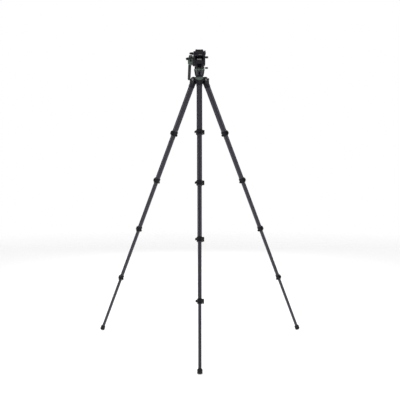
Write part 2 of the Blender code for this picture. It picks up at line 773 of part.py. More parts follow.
def handle_lever_mesh():
    """The clamp's lever with its knob, which points to the left; the origin is on its pin."""
    pin = cylinder(CLAMP_PIN_RADIUS, -4 * MM, 8.5 * MM, "Y", steps=12)
    hub = cylinder(CLAMP_HUB_RADIUS, -9 * MM, 0, "Y")
    arm = [(0, -4 * MM), (0, 4 * MM), (-22 * MM, 4 * MM), (-22 * MM, -4 * MM)]
    knob = cylinder(6.6 * MM, -33.5 * MM, -20.3 * MM, "X", (-6.9 * MM, 0), 12)
    made = joined(hub, pin, prism(arm, -9 * MM, -3.2 * MM, "Y"), knob)
    return moved(made, Matrix.Rotation(-CLAMP_LEVER_REST, 4, "Y"))


def pan_bar_mesh():
    return cylinder(BAR_RADIUS, 6.4 * MM, GRIP_END - 14 * MM)


def pan_grip_mesh():
    """The soft sleeve on the bar, closed and rounded at its far end."""
    bore = BAR_RADIUS + GAP
    start = 27 * MM
    outline = [
        (bore, start),
        (GRIP_RADIUS - 2 * MM, start),
        (GRIP_RADIUS, start + 5 * MM),
        (GRIP_RADIUS, GRIP_END - 5 * MM),
        (GRIP_RADIUS - 2 * MM, GRIP_END - 1.2 * MM),
        (GRIP_RADIUS - 5 * MM, GRIP_END),
        (0, GRIP_END),
        (0, GRIP_END - 13 * MM),
        (bore, GRIP_END - 13 * MM),
    ]
    return turned(outline, TUBE_STEPS)


def build_head(axis):
    ball = empty("ball_centre", (0, 0, BALL_HEIGHT), parent=axis)
    place("hub", hub_mesh(), CASTING, ball)
    place("cup_washer", washer_mesh(), STEEL, ball)
    place("levelling_neck", neck_mesh(), CASTING, ball)
    place("tie_down_knob", tie_down_mesh(), BLACK, ball)

    pan = empty("pan_bearing", (0, 0, PAN_HEIGHT), parent=axis)
    place("pan_base", pan_base_mesh(), CASTING, pan)
    place("pan_ring", pan_ring_mesh(), GREEN, pan)
    pan_lock = lock_knob_mesh(2.2 * MM, 21 * MM, 4.7 * MM, 33.6 * MM, 50.2 * MM)
    place("pan_lock_knob", pan_lock, GREEN, pan, (0, 0, PAN_LOCK_HEIGHT))

    tilt = empty("tilt_axis", (0, 0, TILT_HEIGHT), parent=axis)
    place("tilt_housing", housing_mesh(), CASTING, tilt)
    place("tilt_drag_drum", drag_drum_mesh(), STEEL, tilt)
    shaft = cylinder(SHAFT_RADIUS, 0.5 * MM - CHEEK_OUTSIDE, CHEEK_OUTSIDE - 0.5 * MM, "X")
    place("tilt_shaft", shaft, STEEL, tilt)
    place("tilt_cradle", cradle_mesh(), CASTING, tilt)
    tilt_lock = lock_knob_mesh(3.5 * MM, 24.4 * MM, 6.5 * MM, 34.9 * MM, 51.5 * MM)
    place("tilt_lock_knob", tilt_lock, GREEN, tilt, (0, 0, TILT_LOCK_HEIGHT))
    place("plate_lock_lever", plate_lever_mesh(), GREEN, tilt, PLATE_LEVER_PIN)
    place("plate_catch", plate_catch_mesh(), BLACK, tilt, (0, 0, CATCH_HEIGHT))
    place("camera_plate", camera_plate_mesh(), CASTING, tilt)
    place("camera_screw", camera_screw_mesh(), STEEL, tilt)

    handle = empty("handle_axis", HANDLE_AXIS, parent=tilt)
    place("handle_clamp", handle_clamp_mesh(), GREEN, handle)
    place("handle_jaw", handle_jaw_mesh(), STEEL, handle)
    place("handle_lock_lever", handle_lever_mesh(), BLACK, handle, CLAMP_LEVER_PIN)
    place("pan_bar", moved(pan_bar_mesh(), bar_matrix()), STEEL, handle)
    place("pan_bar_grip", moved(pan_grip_mesh(), bar_matrix()), RUBBER, handle)


def axis_offset():
    """How far the tripod's axis stands behind the middle of the space between its feet."""
    reach = HINGE_RADIUS + foot_end_distance() * math.sin(LEG_ANGLE)
    front = reach + FOOT_RADIUS * math.cos(LEG_ANGLE)
    back = reach * math.cos(math.radians(60)) + FOOT_RADIUS
    return (front - back) / 2


def main():
    for obj in list(bpy.data.objects):
        bpy.data.objects.remove(obj)
    axis = empty("tripod_axis", (0, axis_offset(), 0))
    build_legs(axis)
    build_head(axis)


main()
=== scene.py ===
"""How the tripod and its fluid head look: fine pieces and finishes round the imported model.

Shapes are in millimetres, in the axes of the joint that they belong to, and become metres when
they turn into a mesh.
"""

import json
import math

import bmesh
import bpy
from mathutils import Matrix, Vector

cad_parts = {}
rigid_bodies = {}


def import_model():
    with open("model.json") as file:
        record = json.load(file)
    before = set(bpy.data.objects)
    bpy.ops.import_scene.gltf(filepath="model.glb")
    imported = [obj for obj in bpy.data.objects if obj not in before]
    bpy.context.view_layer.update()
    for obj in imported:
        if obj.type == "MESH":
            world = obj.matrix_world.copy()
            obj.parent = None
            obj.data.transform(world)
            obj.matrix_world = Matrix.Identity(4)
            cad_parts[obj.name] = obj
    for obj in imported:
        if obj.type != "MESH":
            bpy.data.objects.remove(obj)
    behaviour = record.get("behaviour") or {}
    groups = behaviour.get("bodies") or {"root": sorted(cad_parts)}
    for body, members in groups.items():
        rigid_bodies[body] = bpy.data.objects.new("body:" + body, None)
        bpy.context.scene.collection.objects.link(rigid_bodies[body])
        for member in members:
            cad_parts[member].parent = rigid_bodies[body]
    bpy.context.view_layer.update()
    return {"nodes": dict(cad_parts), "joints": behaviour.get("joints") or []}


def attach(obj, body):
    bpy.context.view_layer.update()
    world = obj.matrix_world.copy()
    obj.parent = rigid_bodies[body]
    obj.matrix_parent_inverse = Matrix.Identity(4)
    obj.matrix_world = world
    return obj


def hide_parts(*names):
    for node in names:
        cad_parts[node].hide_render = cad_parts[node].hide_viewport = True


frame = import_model()

MM = 0.001
SHARPEST = 40
LEG_NAMES = ("a", "b", "c")
JOINTS = {joint["name"]: joint for joint in frame["joints"]}

# ---------------------------------------------------------------- places, from the frame


def axes(origin, x_axis, z_axis):
    """The matrix of a set of axes, from its origin and two of its directions."""
    x = Vector(x_axis).normalized()
    z = Vector(z_axis).normalized()
    y = z.cross(x)
    made = Matrix((x, y, z)).transposed().to_4x4()
    made.translation = Vector(origin)
    return made


def extent(node, matrix):
    """The lowest and highest corner of a CAD node in some axes, in millimetres."""
    back = matrix.inverted()
    points = [back @ vertex.co for vertex in frame["nodes"][node].data.vertices]
    low = Vector([min(point[i] for point in points) for i in range(3)])
    high = Vector([max(point[i] for point in points) for i in range(3)])
    return low / MM, high / MM


def leg_axes(letter):
    """The hinge at the origin, X along it, and -Z down the leg."""
    fold = JOINTS[f"leg_{letter}_fold"]
    slide = JOINTS[f"leg_{letter}_slide_1"]
    return axes(fold["pos_m"], fold["axis"], slide["axis"])


BALL, PAN, TILT, HANDLE = [
    Matrix.Translation((0, *JOINTS[name]["pos_m"][1:]))
    for name in ("level_side", "pan", "tilt", "handle_angle")
]
LEGS = {letter: leg_axes(letter) for letter in LEG_NAMES}
LEG_A = LEGS["a"]
PIVOTS = [
    (LEG_A.inverted() @ Vector(JOINTS[f"leg_a_lock_{number}"]["pos_m"])) / MM
    for number in (1, 2, 3, 4)
]
TUBE_ENDS = [extent(f"leg_a_section_{number}", LEG_A) for number in (1, 2, 3, 4, 5)]
FOOT_END = extent("leg_a_foot", LEG_A)[0].z
SECTION_ENDS = [pivot.z for pivot in PIVOTS] + [FOOT_END]

# ---------------------------------------------------------------- sizes

# Legs
COLLAR_WALL = 4
COLLAR_HALF = 13
PIVOT_OUTSIDE = 4.5
EAR_RADIUS = 4
LEVER_CLEARANCE = 0.6
LEVER_THICKNESS = 3.2
LAST_TUBE_RADIUS = 8.5
TUBE_RADII = [pivot.x - COLLAR_WALL - PIVOT_OUTSIDE for pivot in PIVOTS] + [LAST_TUBE_RADIUS]
TUBE_WALL = 1.2
FORK_HALF = 17.5
LUG_HALF = 10.6
EAR_INSIDE = 11
SLEEVE_TOP = 16.5
SLEEVE_END = 47
BOLT_RADIUS = 4
BOLT_HOLE = 4.1
FOOT_RADIUS = 13.85
FOOT_HEIGHT = 25
FOOT_SOCKET = 6.8

# Levelling base
SEAT_RADIUS = 22.6
BOWL_RADIUS = 25.5
BALL_RADIUS = 22
LEVEL_LIMIT = 7.5
PORT_HEIGHT = -6.2
NECK_BOTTOM = 12.6
NECK_FLARE = 20
FLUTE_DEPTH = 3.2

# Head
CHEEK_INSIDE = 24
CHEEK_SLOPE = [(34.6, -18.6), (27.2, -30)]
CHEEK_OUTSIDE = 34
DRUM_RADIUS = 23.5
DRUM_TOP = 20
DRUM_HALF = 23.4
PANEL_HALF = 18.6
BASE_RADIUS = 28
BASE_BOTTOM = -41
CREST_RADIUS = 27.2
CREST_HALF = 10
PLATFORM_HALF = 34.5
PLATFORM_LENGTH = 38
PLATE_LEVER_PIN = (-41, 22)
PLATE_TOP = 64
PLATE_LENGTH = 45
TWIST_PIN = -17
HANDLE_START = Vector((-55, 0, -11))
HANDLE_DROP = math.radians(18)
HANDLE_SPLAY = math.radians(1.8)
BAR_RADIUS = 5.5
GRIP_RADIUS = 8.8
GRIP_START = 27
GRIP_END = 235
ROSETTE_RADIUS = 30.5
ROSETTE_FACE = 38
CLAMP_INSIDE = -38.3
CLAMP_FRONT = -22
CLAMP_LEVER_PIN = Vector((-44.5, -22.7, 17))
CLAMP_LEVER_REST = 14.5
CLAMP_HUB_RADIUS = 5.2
JAW_SCREWS = (-54.5, -44.5)

# ---------------------------------------------------------------- shapes, in millimetres


def mesh_of(bm):
    bmesh.ops.recalc_face_normals(bm, faces=bm.faces)
    mesh = bpy.data.meshes.new("shape")
    bm.to_mesh(mesh)
    bm.free()
    return mesh


def moved(mesh, matrix):
    mesh.transform(matrix)
    return mesh


def shifted(mesh, x, y=0, z=0):
    return moved(mesh, Matrix.Translation((x, y, z)))


def spun(mesh, degrees, axis="Z"):
    return moved(mesh, Matrix.Rotation(math.radians(degrees), 4, axis))


def arc(radius, start, end, count, centre=(0, 0)):
    """Points on an arc, between two angles in degrees, both ends included."""
    angles = [math.radians(start + (end - start) * i / count) for i in range(count + 1)]
    return [
        (centre[0] + radius * math.cos(angle), centre[1] + radius * math.sin(angle))
        for angle in angles
    ]


def rounded(outline, radius, count=4, sharpest=20):
    """An outline with an arc in place of each corner that turns more than some degrees."""
    made = []
    total = len(outline)
    for i, point in enumerate(outline):
        here = Vector(point)
        back = Vector(outline[i - 1]) - here
        ahead = Vector(outline[(i + 1) % total]) - here
        turn = math.pi - back.angle(ahead)
        if turn < math.radians(sharpest):
            made.append(tuple(here))
            continue
        reach = min(radius * math.tan(turn / 2), 0.45 * back.length, 0.45 * ahead.length)
        start = here + back.normalized() * reach
        end = here + ahead.normalized() * reach
        for step in range(count + 1):
            t = step / count
            curve = start * (1 - t) ** 2 + here * 2 * t * (1 - t) + end * t**2
            made.append(tuple(curve))
    return made


def turned(outline, steps):
    """A closed outline of (radius, height) points, swept round Z."""
    bm = bmesh.new()
    points = [bm.verts.new((radius, 0, height)) for radius, height in outline]
    following = points[1:] + points[:1]
    edges = [
        bm.edges.new(pair)
        for pair in zip(points, following)
        if pair[0].co.x > 0 or pair[1].co.x > 0
    ]
    bmesh.ops.spin(
        bm,
        geom=points + edges,
        cent=(0, 0, 0),
        axis=(0, 0, 1),
        angle=math.tau,
        steps=steps,
        use_merge=True,
    )
    bmesh.ops.remove_doubles(bm, verts=bm.verts, dist=1e-4)
    return mesh_of(bm)


def prism(outline, low, high, axis="Z"):
    """An outline extruded along an axis; its points are the other two axes' coordinates, in order."""
    index = "XYZ".index(axis)
    bm = bmesh.new()
    corners = [bm.verts.new((*point[:index], low, *point[index:])) for point in outline]
    face = bm.faces.new(corners)
    extruded = bmesh.ops.extrude_face_region(bm, geom=[face])["geom"]
    along = Vector([high - low if i == index else 0 for i in range(3)])
    raised = [item for item in extruded if isinstance(item, bmesh.types.BMVert)]
    bmesh.ops.translate(bm, verts=raised, vec=along)
    return mesh_of(bm)


def mirrored(outline):
    """Half of an outline and its mirror image."""
    return outline + [(-x, height) for x, height in reversed(outline)]


def bevelled(mesh, width, segments=3, sharpest=40):
    """The mesh with its sharp edges rounded."""
    base = bpy.data.objects.new("base", mesh)
    bpy.context.collection.objects.link(base)
    modifier = base.modifiers.new("edges", "BEVEL")
    modifier.width = width
    modifier.segments = segments
    modifier.limit_method = "ANGLE"
    modifier.angle_limit = math.radians(sharpest)
    graph = bpy.context.evaluated_depsgraph_get()
    made = bpy.data.meshes.new_from_object(base.evaluated_get(graph))
    bpy.data.objects.remove(base)
    return made


def rectangle(low, high):
    return [(low[0], low[1]), (high[0], low[1]), (high[0], high[1]), (low[0], high[1])]


def block(low, high, corner=1.0, edge=0.6):
    """A box between two of its corners, with its upright corners and its edges rounded."""
    outline = rectangle(low, high)
    shape = rounded(outline, corner) if corner else outline
    return bevelled(prism(shape, low[2], high[2]), edge)


def rod(radius, low, high, axis="Z", centre=(0, 0), steps=40, edge=0.0):
    outline = arc(radius, 0, 360 - 360 / steps, steps - 1, centre)
    made = prism(outline, low, high, axis)
    return bevelled(made, edge, 2) if edge else made


def loft(rings):
    """A closed solid through rings of points, with a cap at each end."""
    bm = bmesh.new()
    rows = [[bm.verts.new(point) for point in ring] for ring in rings]
    count = len(rows[0])
    for near, far in zip(rows, rows[1:]):
        for i in range(count):
            after = (i + 1) % count
            bm.faces.new((near[i], near[after], far[after], far[i]))
    bm.faces.new(rows[0][::-1])
    bm.faces.new(rows[-1])
    return mesh_of(bm)


def together(*meshes):
    """Several closed shapes in one mesh."""
    bm = bmesh.new()
    for mesh in meshes:
        bm.from_mesh(mesh)
    return mesh_of(bm)


def combine(mesh, other, operation):
    """The first mesh joined with, cut by, or kept inside the second."""
    scene = bpy.context.collection.objects
    base = bpy.data.objects.new("base", mesh)
    tool = bpy.data.objects.new("tool", other)
    scene.link(base)
    scene.link(tool)
    modifier = base.modifiers.new("combine", "BOOLEAN")
    modifier.operation = operation
    modifier.object = tool
    graph = bpy.context.evaluated_depsgraph_get()
    made = bpy.data.meshes.new_from_object(base.evaluated_get(graph))
    bpy.data.objects.remove(base)
    bpy.data.objects.remove(tool)
    return made


def joined(mesh, *others):
    for other in others:
        mesh = combine(mesh, other, "UNION")
    return mesh


def cut(mesh, *cutters):
    for cutter in cutters:
        mesh = combine(mesh, cutter, "DIFFERENCE")
    return mesh


def hex_outline(across):
    return arc(across / math.sqrt(3), 0, 300, 5)


def screw_head(radius, height, across):
    """A socket head on Z = 0, with its rim rounded and a hexagonal socket."""
    rim = 0.25 * height
    profile = [(0, 0), (radius, 0), (radius, height - rim)]
    profile += arc(rim, 0, 90, 3, (radius - rim, height - rim))[1:]
    profile += [(0, height)]
    socket = prism(hex_outline(across), 0.3 * height, 2 * height)
    return cut(turned(profile, 32), socket)


# ---------------------------------------------------------------- pieces


def beside(place, x=0, y=0, z=0):
    """A place's axes, moved along them by some millimetres."""
    return place @ Matrix.Translation(Vector((x, y, z)) * MM)


def piece(name, mesh, place, body, look, *stands_for, own_axes=False):
    """A shown piece: its mesh in metres, in place, on its body, with a finish.

    Its finish follows the world's axes, or with own_axes the axes of its place.
    """
    mesh = mesh.copy()
    mesh.transform(Matrix.Diagonal((MM, MM, MM, 1)))
    if not own_axes:
        mesh.transform(place)
    made = bpy.data.objects.new(name, mesh)
    bpy.context.collection.objects.link(made)
    if own_axes:
        made.matrix_world = place
    material, slot = LOOKS[look]
    mesh.materials.clear()
    mesh.materials.append(material)
    mesh.shade_smooth()
    mesh.set_sharp_from_angle(angle=math.radians(SHARPEST))
    normals = made.modifiers.new("normals", "WEIGHTED_NORMAL")
    normals.keep_sharp = True
    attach(made, body)
    if stands_for:
        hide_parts(*stands_for)


# ---------------------------------------------------------------- finishes


def node(tree, kind, inputs=None, **settings):
    """A shader node; an input is a value or the socket that it is linked to."""
    made = tree.nodes.new(f"ShaderNode{kind}")
    for name, value in settings.items():
        setattr(made, name, value)
    for name, value in (inputs or {}).items():
        socket = made.inputs[name]
        if isinstance(value, bpy.types.NodeSocket):
            tree.links.new(value, socket)
        else:
            socket.default_value = value
    return made


def calculated(tree, operation, *values):
    return node(tree, "Math", dict(enumerate(values)), operation=operation).outputs[0]


def ramp(tree, factor, *stops):
    """A colour ramp through (position, colour) stops; a number is a grey."""
    made = node(tree, "ValToRGB", {"Fac": factor})
    elements = made.color_ramp.elements
    while len(elements) < len(stops):
        elements.new(0.5)
    for element, (position, colour) in zip(elements, stops):
        element.position = position
        grey = isinstance(colour, (int, float))
        element.color = (colour, colour, colour, 1) if grey else (*colour, 1)
    return made.outputs["Color"]


def noise(tree, scale, detail=3.0, vector=None):
    """Noise at a point, or over the object's own coordinates."""
    vector = vector or node(tree, "TexCoord").outputs["Object"]
    inputs = {"Scale": scale, "Detail": detail, "Roughness": 0.55, "Vector": vector}
    return node(tree, "TexNoise", inputs).outputs["Fac"]


def stretched(tree, scale):
    """Object coordinates scaled differently along each axis."""
    place = node(tree, "TexCoord").outputs["Object"]
    return node(tree, "Mapping", {"Vector": place, "Scale": scale}).outputs["Vector"]


def edges(tree, radius):
    """1 on a sharp edge and 0 on a flat."""
    rounded_normal = node(tree, "Bevel", {"Radius": radius}, samples=6).outputs["Normal"]
    normal = node(tree, "NewGeometry").outputs["Normal"]
    turn = node(tree, "VectorMath", {0: rounded_normal, 1: normal}, operation="DOT_PRODUCT")
    return calculated(tree, "SUBTRACT", 1.0, turn.outputs["Value"])


def mixed(tree, factor, first, second, blend="MIX"):
    """Two colours mixed or multiplied; an input is a value or the socket it is linked to."""
    inputs = {0: factor, 6: first, 7: second}
    for index, value in inputs.items():
        if isinstance(value, tuple):
            inputs[index] = (*value, 1)
    return node(tree, "Mix", inputs, data_type="RGBA", blend_type=blend).outputs[2]


def bump(tree, height, strength, distance, before=None):
    """A normal from a height, in metres of distance, over another bump's normal if there is one."""
    inputs = {"Height": height, "Strength": strength, "Distance": distance}
    if before is not None:
        inputs["Normal"] = before
    return node(tree, "Bump", inputs).outputs["Normal"]


def surface(name, **sockets):
    """A new material; sockets are the shader's own values."""
    made = bpy.data.materials.new(name)
    made.use_nodes = True
    shader = made.node_tree.nodes["Principled BSDF"]
    for socket, value in sockets.items():
        shader.inputs[socket.replace("_", " ")].default_value = value
    return made, made.node_tree, shader.inputs


CARBON_DARK = (0.026, 0.024, 0.036)
CARBON_LIGHT = (0.042, 0.038, 0.057)


def carbon(name, radius):
    """Woven carbon tube under a satin lacquer, as a 2 by 2 twill round a Z axis."""
    tow = 1.7 * MM
    around = 4 * round(math.tau * radius * MM / tow / 4)
    made, tree, sockets = surface(name, Coat_Weight=0.2, Coat_Roughness=0.3, Specular_IOR_Level=0.35)
    spot = node(tree, "SeparateXYZ", {0: node(tree, "TexCoord").outputs["Object"]})
    angle = calculated(tree, "ARCTAN2", spot.outputs["Y"], spot.outputs["X"])
    across = calculated(tree, "MULTIPLY", angle, around / math.tau)
    along = calculated(tree, "DIVIDE", spot.outputs["Z"], tow)
    column = calculated(tree, "FLOOR", across)
    cell = calculated(tree, "ADD", column, calculated(tree, "FLOOR", along))
    warp = calculated(tree, "LESS_THAN", calculated(tree, "FLOORED_MODULO", cell, 4.0), 2.0)
    crowns = []
    for direction in (across, along):
        part = calculated(tree, "FRACT", direction)
        crowns.append(calculated(tree, "SINE", calculated(tree, "MULTIPLY", part, math.pi)))
    crown = node(tree, "Mix", {"Factor": warp, "A": crowns[1], "B": crowns[0]})
    strands = []
    for stretch in ((9.0, 0.35), (0.35, 9.0)):
        first = calculated(tree, "MULTIPLY", across, stretch[0])
        second = calculated(tree, "MULTIPLY", along, stretch[1])
        point = node(tree, "CombineXYZ", {"X": first, "Y": second}).outputs[0]
        strands.append(noise(tree, 1.0, 2.0, point))
    strand = node(tree, "Mix", {"Factor": warp, "A": strands[1], "B": strands[0]})
    shade = ramp(tree, strand.outputs[0], (0.3, CARBON_DARK), (0.7, CARBON_LIGHT))
    darker = mixed(tree, 1.0, shade, (0.80, 0.80, 0.81), "MULTIPLY")
    woven = mixed(tree, warp, darker, shade)
    gap = ramp(tree, crown.outputs[0], (0.0, 0.5), (0.3, 1.0))
    tree.links.new(mixed(tree, 1.0, woven, gap, "MULTIPLY"), sockets["Base Color"])
    scuffs = noise(tree, 1.0, 4.0, stretched(tree, (900, 900, 25)))
    rough = ramp(tree, scuffs, (0.35, 0.34), (0.75, 0.52))
    tree.links.new(rough, sockets["Roughness"])
    tree.links.new(bump(tree, crown.outputs[0], 0.35, 0.00008), sockets["Normal"])
    return made


def painted(name, colour, worn, metallic, grain, low, high, wear, **more):
    """A fine-grained finish over metal or plastic, polished lighter along its edges."""
    made, tree, sockets = surface(name, Metallic=metallic, **more)
    clouds = noise(tree, 35.0, 4.0)
    tint = tuple(1.18 * part for part in colour)
    shade = mixed(tree, clouds, tuple(0.86 * part for part in colour), tint)
    patches = ramp(tree, noise(tree, 220.0), (0.45, 0.0), (0.65, 1.0))
    rubbed = calculated(tree, "MULTIPLY", edges(tree, 0.5 * MM), patches)
    mask = ramp(tree, rubbed, (0.06, 0.0), (0.40, wear))
    tree.links.new(mixed(tree, mask, shade, worn), sockets["Base Color"])
    rough = ramp(tree, noise(tree, 90.0, 5.0), (0.3, low), (0.7, high))
    tree.links.new(rough, sockets["Roughness"])
    fine = noise(tree, 3200.0, 2.0)
    coarse = noise(tree, 900.0, 2.0)
    normal = bump(tree, fine, grain, 0.00006)
    tree.links.new(bump(tree, coarse, 0.5 * grain, 0.00008, normal), sockets["Normal"])
    return made


def brushed(name, colour, direction, low, high):
    """Bare metal with fine lines left by turning or brushing."""
    made, tree, sockets = surface(name, Metallic=1.0)
    lines = noise(tree, 1.0, 4.0, stretched(tree, direction))
    dark = tuple(0.72 * part for part in colour)
    shade = mixed(tree, ramp(tree, lines, (0.3, 0.0), (0.7, 1.0)), dark, colour)
    tree.links.new(shade, sockets["Base Color"])
    tree.links.new(ramp(tree, lines, (0.3, low), (0.7, high)), sockets["Roughness"])
    tree.links.new(bump(tree, lines, 0.15, 0.00004), sockets["Normal"])
    return made


def rubber(name, colour, dust):
    """Matt rubber with a pebbled skin and a little dust."""
    made, tree, sockets = surface(name, Specular_IOR_Level=0.35)
    patches = ramp(tree, noise(tree, 60.0, 5.0), (0.45, 0.0), (0.72, 0.45))
    tree.links.new(mixed(tree, patches, colour, dust), sockets["Base Color"])
    tree.links.new(ramp(tree, noise(tree, 150.0), (0.3, 0.62), (0.7, 0.85)), sockets["Roughness"])
    place = node(tree, "TexCoord").outputs["Object"]
    cells = node(tree, "TexVoronoi", {"Vector": place, "Scale": 1400.0})
    tree.links.new(bump(tree, cells.outputs["Distance"], 0.35, 0.00012), sockets["Normal"])
    return made


DIM = {"Specular_IOR_Level": 0.25}
DULL = {"Specular_IOR_Level": 0.08}
CLEAR = {"Coat_Weight": 1.0}
PAINTS = {
    # slot, material, colour, worn edges, metallic, grain, roughness from and to, wear, the rest
    "casting": ("casting", "cast_aluminium", (0.0115, 0.012, 0.017), (0.06, 0.06, 0.068),
                0.0, 0.30, 0.36, 0.50, 0.5, DIM),
    "cheek": ("casting", "cheek_paint", (0.0125, 0.013, 0.019), (0.06, 0.06, 0.068),
              0.0, 0.22, 0.32, 0.46, 0.45, DIM),
    "neck": ("casting", "neck_satin", (0.058, 0.059, 0.067), (0.12, 0.12, 0.125),
             0.4, 0.22, 0.28, 0.42, 0.4, DIM),
    "plastic": ("black", "moulded_black", (0.0062, 0.0062, 0.0082), (0.03, 0.03, 0.034),
                0.0, 0.45, 0.38, 0.56, 0.4, DIM),
    "green": ("green", "green_anodised", (0.082, 0.119, 0.095), (0.19, 0.225, 0.195),
              0.35, 0.18, 0.33, 0.47, 0.5, {}),
    "inset": ("green", "dark_green", (0.006, 0.010, 0.008), (0.03, 0.04, 0.034),
              0.0, 0.2, 0.40, 0.55, 0.3, DIM),
    # recess: near-black painted shade, for the hollows and gaps where shadow falls
    "recess": ("black", "painted_shade_black", (0.002, 0.002, 0.0026), (0.010, 0.010, 0.010),
               0.0, 0.4, 0.60, 0.80, 0.2, DULL),
    "satin": ("steel", "satin_aluminium", (0.085, 0.084, 0.090), (0.2, 0.2, 0.2),
              0.6, 0.2, 0.34, 0.48, 0.5, {}),
    "badge": ("steel", "badge_grey", (0.34, 0.34, 0.35), (0.45, 0.45, 0.45),
              0.1, 0.12, 0.30, 0.42, 0.3, {}),
    "label": ("steel", "label_grey", (0.105, 0.105, 0.112), (0.16, 0.16, 0.16),
              0.1, 0.12, 0.34, 0.46, 0.3, {}),
    "vial": ("green", "vial_liquid", (0.36, 0.50, 0.09), (0.4, 0.5, 0.2),
             0.0, 0.0, 0.08, 0.12, 0.0, CLEAR),
}
METALS = {
    # slot, material, colour, scale of its lines along each axis, roughness from and to
    "steel": ("steel", "turned_steel", (0.19, 0.185, 0.185), (260, 260, 2600), 0.30, 0.50),
    "bar": ("casting", "dark_bar", (0.04, 0.04, 0.05), (1800, 1800, 60), 0.30, 0.45),
}
RUBBERS = {
    # slot, material, colour, dust
    "rubber": ("rubber", "foot_rubber", (0.011, 0.011, 0.014), (0.045, 0.044, 0.044)),
    "grip": ("rubber", "grip_rubber", (0.012, 0.012, 0.019), (0.022, 0.022, 0.030)),
    "pad": ("rubber", "pad_rubber", (0.010, 0.010, 0.012), (0.026, 0.026, 0.028)),
}


def make_looks():
    """Each finish's material and slot, by the finish's name."""
    made = {}
    for look, (slot, *values, more) in PAINTS.items():
        made[look] = painted(*values, **more), slot
    for maker, finishes in ((brushed, METALS), (rubber, RUBBERS)):
        for look, (slot, *values) in finishes.items():
            made[look] = maker(*values), slot
    for i, radius in enumerate(TUBE_RADII):
        name = f"carbon_{i + 1}"
        made[name] = carbon(name, radius), "carbon"
    return made


LOOKS = make_looks()

# ---------------------------------------------------------------- legs


def tube_mesh(index):
    """A carbon tube from the inside of its collar to its top; Z = 0 at the collar or foot end."""
    top = TUBE_ENDS[index][1].z - SECTION_ENDS[index]
    bottom = FOOT_SOCKET + 0.4 if index == 4 else -COLLAR_HALF + 2
    outside = TUBE_RADII[index]
    inside = outside - TUBE_WALL
    edge = 0.3
    outline = [
        (inside, top),
        (outside - edge, top),
        (outside, top - edge),
        (outside, bottom),
        (inside, bottom),
    ]
    return turned(outline, 80)


def collar_mesh(index):
    """The clamp ring with its two ears, and the two lugs of its split on the leg's inner side."""
    tube = TUBE_RADII[index]
    bore = TUBE_RADII[index + 1] + 0.4
    wall = tube + COLLAR_WALL
    half = COLLAR_HALF
    band = 8.7
    outline = [(bore, -half), (bore + 2.2, -half)]
    outline += [(wall - 1.6, -half), (wall - 0.5, -half + 0.5), (wall, -half + 1.6)]
    outline += [(wall, -band - 0.3), (wall - 0.5, -band), (wall - 0.5, band), (wall, band + 0.3)]
    outline += [(wall, half - 1.6), (wall - 0.5, half - 0.5), (wall - 1.6, half)]
    outline += [(tube + 1.4, half), (tube + 0.5, half - 0.7), (tube + 0.1, half - 2)]
    outline += [(tube + 0.1, 3 - half), (bore, 3 - half)]
    ring = turned(outline, 80)
    pivot = PIVOTS[index].x
    for low in (-half + 0.5, half - 4.1):
        shape = arc(EAR_RADIUS, -90, 90, 14, (pivot, 0))
        shape += [(tube + 2, EAR_RADIUS + 1.5), (tube + 2, -EAR_RADIUS - 1.5)]
        ring = joined(ring, bevelled(prism(shape, low, low + 3.6), 0.5, 2))
    lug = block((-5.2, wall - 1.5, -11.5), (5.2, wall + 3.4, -1.5), 1.4, 0.7)
    ring = joined(ring, lug)
    split = prism(rectangle((-0.6, bore / 2), (0.6, 2 * wall)), -20, 1)
    return cut(ring, split)


def lever_path(index):
    """Centre line of a lever's blade, from its pin round the leg's outer side to its tip."""
    collar = TUBE_RADII[index] + COLLAR_WALL
    middle = collar + LEVER_CLEARANCE + LEVER_THICKNESS / 2
    points = [Vector(point) for point in arc(middle, -8, -154, 30)]
    start = points[-1]
    heading = (points[-1] - points[-2]).normalized()
    bend = start + heading * 0.22 * collar
    tip = Vector((-PIVOTS[index].x - EAR_RADIUS + 1.2, -0.12 * collar))
    for step in range(1, 11):
        t = step / 10
        points.append(start * (1 - t) ** 2 + bend * 2 * t * (1 - t) + tip * t**2)
    return points


def outward_at(path, i):
    """The direction away from the leg, square to a path at one of its points."""
    heading = (path[min(i + 1, len(path) - 1)] - path[max(i - 1, 0)]).normalized()
    outward = Vector((-heading.y, heading.x))
    return outward if outward.dot(path[i]) >= 0 else -outward


def lever_mesh(index):
    """A flip lever closed round the collar; the origin is at its pin's place on the leg's axis."""
    path = lever_path(index)
    rings = []
    count = len(path)
    for i, point in enumerate(path):
        outward = outward_at(path, i)
        share = i / (count - 1)
        half_height = 8 - 1.6 * share**2
        half_width = LEVER_THICKNESS / 2
        if i in (0, count - 1):
            half_width -= 0.35
            half_height -= 0.6
        section = rectangle((-half_width, -half_height), (half_width, half_height))
        ring = [
            (point.x + outward.x * across, point.y + outward.y * across, height)
            for across, height in rounded(section, 1.1, 3)
        ]
        rings.append(ring)
    blade = loft(rings)
    pivot = PIVOTS[index].x
    hub = rod(EAR_RADIUS, -8, 8, "Z", (pivot, 0), 32, 0.6)
    made = joined(blade, hub)
    for i in (count - 9, count - 6, count - 3):
        spot = path[i] + outward_at(path, i) * (LEVER_THICKNESS / 2 - 0.1)
        rib = rod(0.55, -4.6, 4.6, "Z", tuple(spot), 12, 0.25)
        made = joined(made, rib)
    return cut(made, rod(1.9, -20, 20, "Z", (pivot, 0), 24))


def fittings_mesh(index):
    """The lever's pin with its two heads, and the screw that sets the clamp."""
    wall = TUBE_RADII[index] + COLLAR_WALL
    pivot = PIVOTS[index].x
    half = COLLAR_HALF
    pin = [(0, -half), (2.4, -half), (2.7, 0.4 - half), (2.7, 0.6 - half), (1.6, 0.6 - half)]
    pin += [(radius, -height) for radius, height in reversed(pin)]
    parts = [shifted(turned(pin, 32), pivot)]
    head = spun(screw_head(2.2, 2, 2), 90, "Y")
    parts.append(shifted(head, 5.1, wall + 1.2, -6.5))
    parts.append(rod(1.2, -1.5, 1.5, "X", (wall + 1.2, -6.5), 20))
    return together(*parts)


